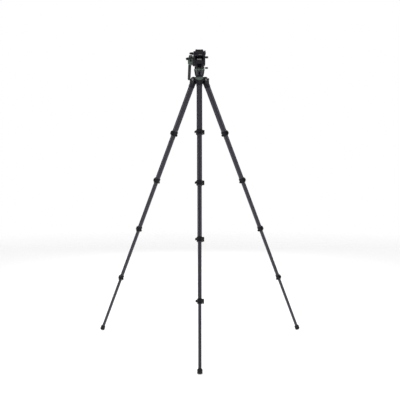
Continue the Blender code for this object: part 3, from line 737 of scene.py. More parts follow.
def shoulder_mesh():
    """The fork on the hinge and the sleeve that holds the first tube."""
    front = 13.5
    shape = [(front, SLEEVE_TOP + 6), (front, 9.5)]
    shape += arc(10, 20, -200, 40)
    shape += [(-front, 12.5), (-front, SLEEVE_TOP + 6)]
    outline = [(-outward, -down) for outward, down in rounded(shape, 3, 4, 25)]
    right = bevelled(prism(outline, EAR_INSIDE, FORK_HALF, "X"), 0.9)
    left = bevelled(prism(outline, -FORK_HALF, -EAR_INSIDE, "X"), 0.9)
    web = block((-FORK_HALF + 1, -front + 0.4, -SLEEVE_TOP - 6), (FORK_HALF - 1, front - 0.4, -12.6))
    end = -SLEEVE_END
    sleeve = [(15.9, -SLEEVE_TOP + 0.2), (16.9, -SLEEVE_TOP + 0.2), (FORK_HALF, -SLEEVE_TOP - 0.6)]
    sleeve += [(FORK_HALF, end + 7.4), (FORK_HALF - 0.7, end + 6.9), (FORK_HALF - 0.7, end + 6.1)]
    sleeve += [(FORK_HALF, end + 5.6), (FORK_HALF, end + 1.2), (FORK_HALF - 0.9, end)]
    sleeve += [(0, end), (0, -SLEEVE_TOP + 0.2)]
    body = joined(turned(sleeve, 80), web, right, left)
    socket = rod(TUBE_RADII[0] + 0.15, -2 * SLEEVE_END, -18.2, "Z", (0, 0), 80)
    hole = rod(BOLT_HOLE, -40, 40, "X")
    seats = [rod(6.4, sign * 16.6, sign * 30, "X") for sign in (-1, 1)]
    return cut(body, socket, hole, *seats)


def bolt_mesh():
    """The hinge's bolt: a shank and, at each end, a socket head in the ear's seat."""
    parts = [rod(BOLT_RADIUS, -16.4, 16.4, "X")]
    for turn in (90, -90):
        head = shifted(screw_head(5.9, 0.9, 5), 0, 0, 16.55)
        parts.append(spun(head, turn, "Y"))
    return together(*parts)


def tab_mesh():
    """The pull-out angle lock: a tongue between the ears and a rounded shield in front."""
    half = 21.5
    radius = 22.26
    face = 14.2
    shape = [(-half, 2), (half, 2)] + arc(radius, -15, -165, 36, (0, 5.76))
    shape = rounded(shape, 1.2, 3, 25)
    shield = bevelled(prism(shape, -face - 4.3, -face, "Y"), 1.3, 4, 30)
    outline = rectangle((-face - 1, -3), (-9.8, 3))
    tongue = bevelled(prism(outline, -LUG_HALF + 0.4, LUG_HALF - 0.4, "X"), 0.4, 2)
    return joined(shield, tongue)


def foot_mesh():
    """A barrel of rubber with three grooves round it and a blind socket; Z = 0 at its end."""
    socket = LAST_TUBE_RADIUS + 0.2
    outline = [(0, 0), (8.6, 0)]
    outline += arc(5, -84, -6, 8, (FOOT_RADIUS - 5, 5))
    outline += [(FOOT_RADIUS, 6)]
    for height in (7.4, 11, 14.6):
        outline += [(FOOT_RADIUS, height), (FOOT_RADIUS - 1.1, height + 0.5)]
        outline += [(FOOT_RADIUS - 1.1, height + 1.3), (FOOT_RADIUS, height + 1.8)]
    outline += [(FOOT_RADIUS, 20.6), (FOOT_RADIUS - 0.5, 22)]
    outline += arc(2.2, 0, 90, 4, (FOOT_RADIUS - 2.9, FOOT_HEIGHT - 2.2))
    outline += [(socket, FOOT_HEIGHT), (socket, FOOT_SOCKET), (0, FOOT_SOCKET)]
    return turned(outline, 80)


def ferrule_mesh():
    """The ring that clips the foot to the last tube."""
    inside = LAST_TUBE_RADIUS + 0.05
    low = FOOT_HEIGHT - 1
    top = FOOT_HEIGHT + 2.3
    outline = [(inside, low), (inside + 1.9, low), (inside + 1.9, top - 0.6), (inside + 1.3, top)]
    outline += [(inside, top)]
    return turned(outline, 64)


def build_leg(letter, shared, tubes, collars, fittings, levers):
    place = LEGS[letter]
    leg = f"leg_{letter}"
    bodies = [leg] + [f"{leg}_section_{number}" for number in (2, 3, 4, 5)]
    piece(f"{leg}_fork", shared["shoulder"], place, leg, "casting", f"{leg}_shoulder")
    piece(f"{leg}_bolt", shared["bolt"], place, "hub", "steel", f"{leg}_hinge_pin")
    tab = f"{leg}_angle_tab"
    piece(f"{leg}_tab", shared["tab"], place, tab, "green", tab)
    for i, body in enumerate(bodies):
        at = beside(place, z=SECTION_ENDS[i])
        number = i + 1
        piece(f"{leg}_tube_{number}", tubes[i], at, body, f"carbon_{number}",
              f"{leg}_section_{number}", own_axes=True)
        if body == bodies[-1]:
            piece(f"{leg}_foot_rubber", shared["foot"], at, body, "rubber", f"{leg}_foot")
            piece(f"{leg}_foot_ring", shared["ferrule"], at, body, "plastic")
            continue
        lever = f"{leg}_lever_{number}"
        piece(f"{leg}_collar_{number}", collars[i], at, body, "plastic")
        piece(f"{leg}_fittings_{number}", fittings[i], at, body, "steel")
        piece(f"{leg}_blade_{number}", levers[i], at, lever, "plastic", lever)


def build_legs():
    sections = [
        [maker(index) for index in range(len(PIVOTS))]
        for maker in (collar_mesh, fittings_mesh, lever_mesh)
    ]
    tubes = [tube_mesh(index) for index in range(len(TUBE_ENDS))]
    shared = {
        "shoulder": shoulder_mesh(),
        "bolt": bolt_mesh(),
        "tab": tab_mesh(),
        "foot": foot_mesh(),
        "ferrule": ferrule_mesh(),
    }
    for letter in LEG_NAMES:
        build_leg(letter, shared, tubes, *sections)


# ---------------------------------------------------------------- hub and levelling base
# These have the ball's centre at their origin.


def sphere_points(radius, start, end, count):
    """Points on a sphere's lower half, between two distances from its vertical axis."""
    first = math.degrees(math.asin(start / radius)) - 90
    last = math.degrees(math.asin(end / radius)) - 90
    return arc(radius, first, last, count)


def fluted(outline, flutes, half_angle, wall_angle, depth, low, high, steps=180):
    """A solid of revolution with upright flutes in its side, between two heights.

    The outline runs up the side from the axis to the axis, which it leaves out.
    """

    def eased(value):
        value = min(max(value, 0), 1)
        return value * value * (3 - 2 * value)

    spacing = 360 / flutes
    rings = []
    for radius, height in outline:
        run = 2.2
        share = eased((height - low) / run) * eased((high - height) / run)
        ring = []
        for step in range(steps):
            angle = 360 * step / steps
            off = abs((angle + 90 + spacing / 2) % spacing - spacing / 2)
            window = 1 - eased((off - half_angle) / wall_angle)
            reach = radius - depth * share * window
            turn = math.radians(angle)
            ring.append((reach * math.cos(turn), reach * math.sin(turn), height))
        rings.append(ring)
    return loft(rings)


def lug_mesh():
    """A leg's lug with the stop above its hinge; Y and Z are from the hinge."""
    tilt = math.pi / 2 - LEG_A.col[2].xyz.angle(Vector((0, 1, 0)))
    nose = 17.5
    down = -3.35
    far = math.sqrt(nose**2 - down**2)
    stop = [
        (out * math.cos(tilt) + down * math.sin(tilt), out * math.sin(tilt) - down * math.cos(tilt))
        for out in (8, far)
    ]
    outline = arc(9, -140, 20, 24) + stop + arc(nose, 48, 104, 14)
    outline += [(-21, 13.8), (-21, -7)]
    outline = [(-outward, height) for outward, height in outline]
    return bevelled(prism(outline, -LUG_HALF, LUG_HALF, "X"), 0.8, 3, 35)


def hub_mesh():
    """The casting that holds the legs, with the ball's seat in it and a threaded port per side."""
    top = 2
    hole = 9.5
    body = 25.5
    edge = sphere_points(BOWL_RADIUS, hole, 15, 6)
    outline = [(0, edge[0][1])] + edge
    outline += [(20.5, edge[-1][1]), (22, edge[-1][1] + 0.6), (body, edge[-1][1] + 9)]
    outline += [(body, top - 4), (body + 0.4, top - 3.2), (27.6, top - 2.8), (28.5, top - 2)]
    outline += [(28.5, top - 0.6), (27.9, top), (0, top)]
    made = turned(outline, 96)
    hinge = BALL.inverted() @ LEG_A.translation / MM
    lug = shifted(lug_mesh(), 0, hinge.y, hinge.z)
    for number in range(3):
        made = joined(made, spun(lug.copy(), 120 * number))
    seat = [(0, -80), (hole, -80)] + sphere_points(SEAT_RADIUS, hole, SEAT_RADIUS, 20)
    seat += [(SEAT_RADIUS, 2 * top), (0, 2 * top)]
    made = cut(made, turned(seat, 96))
    bore = rod(BOLT_HOLE, -40, 40, "X", (hinge.y, hinge.z))
    port = rod(3.4, 24, 40, "Y", (0, PORT_HEIGHT), 32)
    for number in range(3):
        made = cut(made, spun(bore.copy(), 120 * number), spun(port.copy(), 120 * number))
    return made


def port_mesh():
    """The steel insert of one accessory port on the hub's side."""
    ring = turned([(2.4, 0), (3.35, 0), (3.35, 1.9), (3.0, 2.2), (2.4, 1.8)], 32)
    return shifted(spun(ring, -90, "X"), 0, 24.1, PORT_HEIGHT)


def washer_mesh():
    """The slotted cup washer under the bowl."""
    inner = BOWL_RADIUS + 0.35
    outer = inner + 3
    outline = sphere_points(inner, 0, 12, 10)
    outline += sphere_points(outer, 12 * outer / inner, 0, 10)
    reach = outer * math.tan(math.radians(LEVEL_LIMIT))
    slot = arc(4.35, -90, 90, 16, (reach, 0)) + arc(4.35, 90, 270, 16, (-reach, 0))
    return cut(turned(outline, 96), prism(slot, -2 * outer, 0))


def neck_radius(height):
    """The flared neck's radius at a height above the ball's centre."""
    return 25 + 3.9 * ((height - NECK_BOTTOM) / NECK_FLARE) ** 0.9


def ball_mesh():
    """The half ball with its stud below, and its waist and lip above; the lip takes the dark casting
    finish as painted shade below the lighter neck.
    """
    outline = [(0, -50), (3.4, -50), (4, -49.3), (4, -40), (4, -24)]
    outline += sphere_points(BALL_RADIUS, 4, BALL_RADIUS, 20)
    outline += [(21.6, 2.0), (20.4, 3.0), (20.4, 6.6), (21.0, 7.4), (23.6, 8.6), (24.2, 9.3)]
    outline += [(24.3, 10.6), (23.7, 11.2), (0, 11.2)]
    return turned(outline, 96)


def neck_mesh():
    """The flared neck above the ball, with six upright flutes."""
    outline = [(0.5, 11), (24, 11), (24.4, 12)]
    for step in range(17):
        height = NECK_BOTTOM + NECK_FLARE * step / 16
        outline.append((neck_radius(height), height))
    outline += [(29.1, 33.8), (29.1, 37.3), (28.6, 37.9), (0.5, 37.9)]
    return fluted(outline, 6, 11.5, 3.5, FLUTE_DEPTH, 12.2, 33)


def flute_shade_mesh():
    """A near-black sheet at the bottom of the neck's flutes: painted shade in the flutes."""
    heights = [14.6 + 2 * step for step in range(9)]
    outline = [(neck_radius(height) - FLUTE_DEPTH + 0.3, height) for height in heights]
    return turned([(16, heights[0])] + outline + [(16, heights[-1])], 96)


def tie_down_mesh():
    """The fluted knob on the stud below the hub."""
    top = -29.2
    bottom = top - 28
    outline = [(0.5, bottom), (7.2, bottom), (8.8, bottom + 0.5), (9.8, bottom + 1.5)]
    outline += [(10, bottom + 2.6)]
    outline += [(10, bottom + 2.6 + 1.5 * step) for step in range(1, 12)]
    outline += [(9.6, top - 7.8), (7.3, top - 6.4), (7, top - 5), (7, top - 0.4), (6.6, top)]
    outline += [(0.5, top)]
    made = fluted(outline, 8, 5, 13, 1.1, bottom + 0.6, top - 7.2, 160)
    return cut(made, rod(4.2, -50.2, top + 5))


def build_base():
    piece("hub_casting", hub_mesh(), BALL, "hub", "casting", "hub")
    port = port_mesh()
    for number in range(3):
        turn = Matrix.Rotation(math.tau * number / 3, 4, "Z")
        piece(f"hub_port_{number + 1}", port, BALL @ turn, "hub", "steel")
    piece("ball_washer", washer_mesh(), BALL, "cup_washer", "satin", "cup_washer")
    # the ball's lip is in the dark casting finish: painted shade under the neck
    piece("ball", ball_mesh(), BALL, "neck", "casting", "levelling_neck")
    piece("fluted_neck", neck_mesh(), BALL, "neck", "neck")
    # painted shade at the bottom of the neck's flutes
    piece("flute_floor_shade", flute_shade_mesh(), BALL, "neck", "recess")
    piece("tie_down_grip", tie_down_mesh(), BALL, "tie_down_knob", "plastic", "tie_down_knob")


# ---------------------------------------------------------------- fluid head
# The pan pieces have their origin at the pan bearing, the others on the tilt axis.


def pan_base_mesh():
    outline = [(0, -12.7), (25.6, -12.7), (26, -12.3), (26, -0.7), (25.6, -0.3), (12, -0.3)]
    outline += [(12, 9.5), (0, 9.5)]
    return turned(outline, 96)


def pan_ring_mesh():
    """The ring round the pan bearing, with a thumb groove and notches every ten degrees."""
    outer = 30.8
    inner = 26.2
    outline = [(inner, -12.7), (outer - 1, -12.7), (outer, -11.9), (outer, -6.2)]
    outline += [(outer - 0.5, -5.8), (outer - 0.5, -5.3), (outer, -4.9), (outer, -3.3)]
    outline += [(outer - 1, -2.3), (inner, -2.3)]
    ring = turned(outline, 144)
    notch = shifted(rod(0.35, -5.4, 1, "Z", (0, 0), 8), outer + 0.05, 0, 0)
    notches = [spun(notch.copy(), 10 * number + 5) for number in range(36)]
    return cut(ring, together(*notches))


def recess_outline(grow=0.0):
    """The recess in the drum's front, narrower below."""
    low = -36 - grow
    high = -15 + grow
    shape = [(-9 - grow, low), (9 + grow, low), (14 + grow, high), (-14 - grow, high)]
    return rounded(shape, 2.5, 4)


def housing_mesh():
    """The turning base and the drum between the cheeks, with a recess in its front."""
    down = BASE_BOTTOM
    rim = BASE_RADIUS
    outline = [(0, down), (rim - 0.6, down), (rim, down + 0.6), (rim, down + 10.6)]
    outline += arc(1.4, 0, 90, 4, (rim - 1.4, down + 10.6)) + [(0, down + 12)]
    base = turned(outline, 96)
    flat = math.degrees(math.asin(DRUM_TOP / DRUM_RADIUS))
    shape = [(-19, down + 10), (19, down + 10)] + arc(DRUM_RADIUS, -30, flat, 24)
    shape += arc(DRUM_RADIUS, 180 - flat, 210, 24)
    drum = bevelled(prism(shape, -DRUM_HALF, DRUM_HALF, "X"), 0.9, 3, 30)
    made = joined(base, drum)
    return cut(made, prism(recess_outline(), -40, -17.6, "Y"))


def crest_mesh():
    """The crest on the drum and the disc at each of its ends, near-black: painted shade under the
    platform and beside the cheeks.
    """
    crest = math.degrees(math.acos(CREST_HALF / CREST_RADIUS))
    shape = [(-CREST_HALF, DRUM_TOP - 1), (CREST_HALF, DRUM_TOP - 1)]
    shape += arc(CREST_RADIUS, crest, 180 - crest, 16)
    ridge = bevelled(prism(shape, -DRUM_HALF, DRUM_HALF, "X"), 0.6, 2, 30)
    end_shade_discs = [rod(22.4, side * 23.0, side * 23.9, "X", steps=96) for side in (-1, 1)]
    return together(ridge, *end_shade_discs)


def band_mesh(outer, inner, start, end, half, edge):
    """A curved plate round the drum, between two angles above the front, in degrees."""
    shape = arc(outer, 180 - end, 180 - start, 20) + arc(inner, 180 - start, 180 - end, 20)
    return bevelled(prism(shape, -half, half, "X"), edge, 2, 30)


def drum_panel_mesh():
    return band_mesh(24.2, 22.6, -27, 52, PANEL_HALF, 0.35)


def front_panel_mesh():
    return cut(drum_panel_mesh(), prism(recess_outline(0.6), -40, -10, "Y"))


def recess_floor_mesh():
    """The blind grille at the back of the recess."""
    shape = [(-9, -35.8), (9, -35.8), (13.8, -15.2), (-13.8, -15.2)]
    parts = [prism(rounded(shape, 2), -17.9, -17, "Y")]
    for i in range(5):
        half = 10.5 + 0.18 * i
        low = -33 + 3.4 * i
        parts.append(block((-half, -18.7, low), (half, -17.7, low + 1.4), 0.3, 0.3))
    return together(*parts)


def level_mesh():
    """The cup of the bubble level behind the drum."""
    outline = [(0, -4.6), (5.6, -4.6), (6.4, -3.8), (6.4, 3.0), (5.9, 3.5), (4.9, 3.5), (4.6, 2.9)]
    outline += [(4.6, 1.6), (0, 1.6)]
    return joined(turned(outline, 64), block((-4.5, -9, -4.4), (4.5, -2, 1.2), 1, 0.5))


def vial_mesh():
    outline = [(0, 1.7), (4.5, 1.7), (4.5, 2.4), (3.6, 2.9), (2.2, 3.15), (0.0, 3.25)]
    return turned(outline, 48)


def bubble_mesh():
    outline = [(0, 3.05), (1.5, 3.05), (1.35, 3.35), (0.8, 3.5), (0.0, 3.55)]
    ring = [(2.0, 2.9), (2.3, 2.9), (2.3, 3.3), (2.0, 3.3)]
    return together(turned(outline, 32), turned(ring, 32))


def knob_mesh(start, end, radius, flutes):
    """A knob's fluted grip along +X."""
    outline = [(0.3, start), (radius - 1, start), (radius - 0.3, start + 0.4), (radius, start + 1)]
    count = 8
    outline += [
        (radius, start + 1 + (end - start - 2) * step / count) for step in range(1, count + 1)
    ]
    outline += [(radius - 0.3, end - 0.3), (radius - 1, end), (0.3, end)]
    made = fluted(outline, flutes, 3, 60 / flutes, 0.08 * radius, start - 3, end - 0.8, 144)
    return spun(made, 90, "Y")


def cap_mesh(start, end, radius):
    """A knob's smooth end cap along +X, with a shallow dish in its face."""
    outline = [(0, start), (radius - 0.5, start), (radius, start + 0.5), (radius, end - 1.5)]
    outline += arc(1.5, 0, 90, 5, (radius - 1.5, end - 1.5))
    outline += [(radius - 2.1, end), (radius - 2.5, end - 0.4), (0, end - 0.4)]
    return spun(turned(outline, 64), 90, "Y")


def cheek_mesh(side):
    """One side of the cradle: 1 is right and -1 is left."""
    shape = arc(28, 0, -180, 60) + [(-33, 31), (33, 31)]
    low, high = sorted((side * CHEEK_INSIDE, side * CHEEK_OUTSIDE))
    made = bevelled(prism(shape, low, high, "X"), 1.5, 4, 30)
    if side < 0:
        return cut(made, rod(6.2, -60, -20, "X"))
    slope = CHEEK_SLOPE + [(60, CHEEK_SLOPE[1][1]), (60, CHEEK_SLOPE[0][1])]
    made = cut(made, prism(slope, -60, 60, "Y"))
    groove = cut(rod(17.6, 33.3, 40, "X", steps=96), rod(16.9, 30, 42, "X", steps=96))
    dish = rod(16.0, 33.0, 40, "X", steps=96)
    return cut(made, groove, dish, rod(6.2, 20, 60, "X"))


def rosette_mesh():
    """The round seat of the pan handle on the left cheek, along -X."""
    rim = ROSETTE_RADIUS
    outline = [(3.6, CHEEK_OUTSIDE - 0.4), (rim - 0.6, CHEEK_OUTSIDE - 0.4), (rim, CHEEK_OUTSIDE)]
    outline += [(rim, CHEEK_OUTSIDE + 0.6), (rim - 2.6, ROSETTE_FACE - 0.6)]
    outline += [(rim - 3.5, ROSETTE_FACE), (3.6, ROSETTE_FACE)]
    return spun(turned(outline, 96), -90, "Y")


def platform_mesh():
    """The top of the cradle with its dovetail channel, its lever's boss and its pin."""
    half = PLATFORM_HALF
    section = mirrored([(half, 28), (half, 52), (31.5, 55), (24, 55), (26.5, 42.3)])
    body = prism(rounded(section, 1.1, 3), -PLATFORM_LENGTH, PLATFORM_LENGTH, "Y")
    body = bevelled(body, 1.1, 3, 50)
    waist = block((-21, -60, 30.5), (21, -PLATFORM_LENGTH + 0.9, 39), 2, 0.4)
    body = cut(body, waist, shifted(waist.copy(), 0, 60 + PLATFORM_LENGTH - 0.9, 0))
    pin = PLATE_LEVER_PIN
    shape = arc(6, 90, 270, 24, pin) + [(-half + 1, pin[1] - 6), (-half + 1, pin[1] + 6)]
    boss = bevelled(prism(shape, 40.6, 43.6), 0.6, 2)
    post = rod(2.2, 40, 53.6, "Z", pin, 32, 0.3)
    return joined(body, boss, post)


def gap_shade_mesh():
    """A near-black block under the platform, just clear of the drum's crest: painted shade in the gap
    between them.
    """
    return block((-22, -30, CREST_RADIUS + 0.2), (22, 30, 28.4), 1, 0.1)


def label_mesh():
    """The blank label on the platform's front."""
    front = -PLATFORM_LENGTH
    return block((-4, front + 0.35, 33), (14, front + 1.2, 38.5), 0.2, 0.15)


CAP_SCREWS = arc(13.5, 30, 270, 2)


def tilt_cap_mesh():
    """The cover of the tilt bearing on the right cheek, held by three screws."""
    outline = [(0, 32.8), (15.8, 32.8), (15.8, 34.0), (15.3, 34.4), (11.6, 34.4), (11.2, 34.0)]
    outline += [(8.2, 34.0), (7.8, 34.4), (0, 34.4)]
    holes = [rod(1.75, 33.9, 40, "Z", place, 24) for place in CAP_SCREWS]
    return spun(cut(turned(outline, 96), *holes), 90, "Y")


def tilt_cap_screws_mesh():
    heads = [shifted(screw_head(1.6, 0.6, 1.5), *place, 33.75) for place in CAP_SCREWS]
    return spun(together(*heads), 90, "Y")


def plate_lever_mesh():
    """The camera plate's lock: a paddle that slopes down towards its tip; the origin is its pin."""
    shape = arc(6, 200, -20, 24) + [(4, -22), (-10, -40), (-17, -38), (-15.5, -30)]
    paddle = bevelled(prism(rounded(shape, 3, 5, 25), 44, 54.5), 1.6, 4, 40)
    slope = shifted(spun(block((-60, -70, 0), (30, -9, 30), 0, 0.01), -13, "Y"), 0, 0, 52.2)
    return cut(paddle, slope, rod(2.5, 0, 60, steps=32))


def lever_tip_mesh():
    """The thick, ribbed outer end of the plate's lever."""
    shape = [(2.5, -17), (-3, -30), (-10.2, -39.4), (-16.4, -37.4), (-15, -28), (-8.5, -16)]
    made = bevelled(prism(rounded(shape, 1.6, 3), 39.9, 47.0), 1.0, 3, 40)
    grips = [rod(0.5, 36, 50, "Z", (-16.1 + 2.2 * i, -38.3), 12) for i in range(3)]
    return cut(made, *grips)


def lever_cap_mesh():
    """The screw that holds the plate lever on its pin."""
    return shifted(screw_head(3.6, 0.9, 2.5), 0, 0, 54.3)


def catch_mesh():
    """The sprung catch with its ribbed side, its finger above the rail and its stem."""
    shape = [(34.9, -8.5), (37, -8.5), (38.3, 3.5), (36, 9.4), (34.2, 17.4), (30.4, 17.4)]
    shape += [(30.4, 9.3), (34.9, 9.3)]
    tab = bevelled(prism(rounded(shape, 1.0, 3, 15), -9, 9, "Y"), 0.7, 3, 40)
    grooves = [rod(0.45, -20, 20, "Y", (37.9 + 0.1 * i, 2.0 * i - 1), 12) for i in (-3, -2, -1, 0, 1)]
    return joined(cut(tab, *grooves), rod(2.4, 27.2, 36, "X", steps=32))


def camera_plate_mesh():
    """The quick-release plate: dovetail, screw pocket, scooped front and a bed for its pad."""
    section = mirrored([(26, 42.8), (23.5, 55.2), (23.5, 58), (20, PLATE_TOP)])
    length = PLATE_LENGTH
    body = bevelled(prism(rounded(section, 0.8, 3), -length, length, "Y"), 0.8, 3, 50)
    pocket = rod(11, 0, PLATE_TOP - 8, steps=64)
    hole = rod(3.6, 0, 2 * PLATE_TOP, steps=48)
    scoop = bevelled(rod(12, -2 * length, 7 - length, "Y", (0, PLATE_TOP + 1), 64), 1.2, 3)
    bed = block((-17.5, -34, PLATE_TOP - 1), (17.5, 42, PLATE_TOP + 5), 2, 0)
    return cut(body, pocket, hole, scoop, bed)


def pad_mesh():
    """The ribbed rubber pad in the plate's bed, open round the screw and the anti-twist pin."""
    base = block((-17.3, -33.8, PLATE_TOP - 1.1), (17.3, 41.8, PLATE_TOP - 0.45), 1.8, 0)
    ribs = []
    for number in range(29):
        low = -32.6 + 2.6 * number
        top = PLATE_TOP - 0.05
        ribs.append(block((-16.2, low, PLATE_TOP - 0.8), (16.2, low + 1.5, top), 0.5, 0.2))
    island = rod(7, PLATE_TOP - 3, PLATE_TOP + 3, steps=48)
    pin = rod(3.2, PLATE_TOP - 3, PLATE_TOP + 3, "Z", (0, TWIST_PIN), 32)
    return cut(joined(base, together(*ribs)), island, pin)


def plate_fittings_mesh():
    """The steel washer round the camera screw and the anti-twist pin in front of it."""
    outline = [(3.65, 62.9), (6.6, 62.9), (6.6, 63.7), (6.3, 63.9), (3.9, 63.9), (3.65, 63.7)]
    washer = turned(outline, 48)
    pin = turned([(0, 62), (2.2, 62), (2.2, 63.6), (1.9, 63.9), (0, 63.9)], 32)
    return together(washer, shifted(pin, 0, TWIST_PIN))


def camera_screw_mesh():
    """The screw that holds a camera: slotted below, with a rounded thread above."""
    outline = [(0, 49), (9.5, 49), (10.3, 49.8), (10.3, 54.4), (9.9, 55), (2.6, 55)]
    pitch = 1.27
    height = 55.3
    while height < 62.4:
        outline += [(2.6, height), (3.1, height + 0.5 * pitch)]
        height += pitch
    outline += [(2.5, 63.5), (0, 63.5)]
    slot = block((-9, -1, 40), (9, 1, 50.2), 0, 0.01)
    return cut(turned(outline, 64), slot)


# ---------------------------------------------------------------- pan handle
# The origin is on the handle's axis, in line with the tilt axis.


def bar_matrix():
    """From a bar along +Z to the pan bar's place and direction."""
    level = math.cos(HANDLE_SPLAY)
    back = math.cos(HANDLE_DROP) * level
    down = math.sin(HANDLE_DROP) * level
    along = Vector((-math.sin(HANDLE_SPLAY), back, -down))
    return Matrix.Translation(HANDLE_START) @ along.to_track_quat("Z", "Y").to_matrix().to_4x4()


def clamp_mesh():
    """The clamp on the rosette: rounded about its axis, with a flat front, a boss and its stud."""
    shape = [(CLAMP_INSIDE, 21.5), (-64, 21.5), (-66.5, 17), (-66.5, -11), (-64, -17.5)]
    shape += [(-59, -20.5), (-50, -21.3), (CLAMP_INSIDE, -24)]
    body = prism(rounded(shape, 4, 6, 10), CLAMP_FRONT, 30, "Y")
    round_part = rod(26.5, -70, -30, "X", (0, -2), 96)
    made = bevelled(combine(body, round_part, "INTERSECT"), 1.4, 3, 38)
    pin = CLAMP_LEVER_PIN.xz
    boss = rod(CLAMP_HUB_RADIUS, CLAMP_FRONT - 0.35, -8, "Y", pin, 48, 0.4)
    stud = rod(3, -45, -28, "X", steps=32)
    bar = moved(rod(BAR_RADIUS + 0.2, 6, 90, steps=48), bar_matrix())
    return cut(joined(made, boss, stud), bar, rod(2.6, -40, -12, "Y", pin, 32))


def oval(x, z, centre):
    """An oval's points, from half its sizes."""
    turns = [math.tau * i / 48 for i in range(48)]
    return [(centre[0] + x * math.cos(turn), centre[1] + z * math.sin(turn)) for turn in turns]


def inset_mesh():
    """The dark oval in the clamp's front."""
    centre = (-50.4, 2.6)
    rim = prism(oval(5.6, 8.2, centre), CLAMP_FRONT - 0.3, CLAMP_FRONT + 4, "Y")
    floor = prism(oval(4.6, 7.2, centre), CLAMP_FRONT - 3, CLAMP_FRONT - 0.12, "Y")
    return cut(bevelled(rim, 0.5, 2), floor)


def jaw_mesh():
    """The light metal block on the clamp, with two grooves and its screws' holes."""
    shape = [(-61.5, 21.9), (-38.5, 21.9), (-38.5, 31.5), (-42, 35), (-56.5, 35), (-61.5, 31)]
    made = bevelled(prism(rounded(shape, 1.6, 4), -6, 6, "Y"), 1.1, 3, 40)
    groove = block((-70, -1, 25), (-30, 1, 26), 0, 0.01)
    holes = [rod(2.0, 33.4, 40, "Z", (x, 0), 32) for x in JAW_SCREWS]
    return cut(made, shifted(groove.copy(), 0, -6), shifted(groove, 0, 6), *holes)


def jaw_screws_mesh():
    return together(*[shifted(screw_head(1.85, 1.4, 1.6), x, 0, 33.2) for x in JAW_SCREWS])


def clamp_lever_mesh():
    """The clamp's lever in front of its boss, a little below the level; the origin is its pin."""
    pin = rod(2.4, -4, 8.5, "Y", steps=32)
    hub = bevelled(rod(CLAMP_HUB_RADIUS, -9, -0.05, "Y", steps=48), 0.9, 3)
    shape = [(0.5, 4), (0.5, -4), (-22, -3.4), (-22, 3.4)]
    arm = bevelled(prism(shape, -9, -3.2, "Y"), 1.3, 3)
    made = cut(joined(hub, pin, arm), prism(hex_outline(3), -12, -7.8, "Y"))
    return spun(made, -CLAMP_LEVER_REST, "Y")


def clamp_knob_mesh():
    """The ribbed knob at the end of the clamp's lever."""
    outline = [(0.3, 19.9), (6.0, 19.9), (6.9, 20.5), (7.2, 21.4)]
    outline += [(7.2, 22 + step) for step in range(0, 10)]
    outline += [(7.1, 32.2), (6.6, 33.1), (5.7, 33.5), (0.3, 33.5)]
    made = fluted(outline, 12, 3, 8, 0.5, 19.9, 33, 144)
    made = shifted(spun(made, -90, "Y"), 0, -6.9, 0)
    return spun(made, -CLAMP_LEVER_REST, "Y")


def bar_mesh():
    end = GRIP_END - 14
    outline = [(0, 6.4), (4.9, 6.4), (BAR_RADIUS, 7), (BAR_RADIUS, end), (0, end)]
    return turned(outline, 64)


def grip_mesh():
    """The soft sleeve on the bar, with shallow rings near both ends and a rounded end."""
    bore = BAR_RADIUS + 0.1
    radius = GRIP_RADIUS
    outline = [(bore, GRIP_START), (radius - 2.2, GRIP_START), (radius - 1.8, GRIP_START + 0.5)]
    outline += [(radius - 0.3, GRIP_START + 4.6), (radius, GRIP_START + 5.6)]
    for first in (GRIP_START + 9, GRIP_END - 29):
        for number in range(6):
            height = first + 3 * number
            outline += [(radius, height), (radius - 0.45, height + 0.4)]
            outline += [(radius - 0.45, height + 1.0), (radius, height + 1.4)]
    end = GRIP_END
    outline += [(radius, end - 5)] + arc(4.2, 0, 80, 8, (radius - 4.2, end - 4.2))
    outline += [(0, end), (0, end - 13), (bore, end - 13)]
    return turned(outline, 80)


def strap_mesh():
    """The metal ferrule where the grip starts."""
    inside = BAR_RADIUS + 0.05
    low = GRIP_START - 4
    outline = [(inside, low), (inside + 1.1, low), (inside + 1.5, low + 0.4)]
    outline += [(inside + 1.5, GRIP_START), (inside, GRIP_START)]
    return turned(outline, 64)


def build_lock_knob(name, place, stem, grip, cap):
    """A lock knob along +X: its steel stem, its fluted grip and its green cap."""
    body = f"{name}_knob"
    piece(f"{name}_stem", stem, place, body, "steel", body)
    piece(f"{name}_grip", grip, place, body, "plastic")
    piece(f"{name}_cap", cap, place, body, "green")


def build_pan():
    piece("pan_disc", pan_base_mesh(), PAN, "neck", "casting", "pan_base")
    piece("pan_scale_ring", pan_ring_mesh(), PAN, "neck", "green", "pan_ring")
    piece("head_housing", housing_mesh(), TILT, "head", "casting", "tilt_housing")
    # the crest and its end discs are near-black painted shade in the gaps round the drum
    piece("drum_crest_shade", crest_mesh(), TILT, "head", "recess")
    piece("front_panel", front_panel_mesh(), TILT, "head", "casting")
    # the grille is near-black painted shade at the back of the drum's recess
    piece("recess_grille", recess_floor_mesh(), TILT, "head", "recess")
    back = Matrix.Rotation(math.pi, 4, "Z")
    piece("back_panel", drum_panel_mesh(), TILT @ back, "head", "cheek")
    piece("front_badge", band_mesh(24.8, 23.8, 14, 39, 12.3, 0.3), TILT, "head", "badge")
    screw = spun(screw_head(1.7, 1.0, 1.7), 90, "X")
    for number, turn in enumerate((-39, 39, 141, 219)):
        at = beside(TILT @ Matrix.Rotation(math.radians(turn), 4, "Z"), y=-27.6, z=-34)
        piece(f"base_screw_{number + 1}", screw, at, "head", "steel")
    level = beside(TILT, y=27.6, z=-28.6)
    piece("level_cup", level_mesh(), level, "head", "plastic")
    piece("level_vial", vial_mesh(), level, "head", "vial")
    piece("level_bubble", bubble_mesh(), level, "head", "badge")
    stem = rod(2.2, 21, 35, "X", steps=32)
    grip = knob_mesh(33.6, 43.2, 5.2, 12)
    build_lock_knob("pan_lock", beside(PAN, z=3.5), stem, grip, cap_mesh(43.2, 50.2, 5.1))


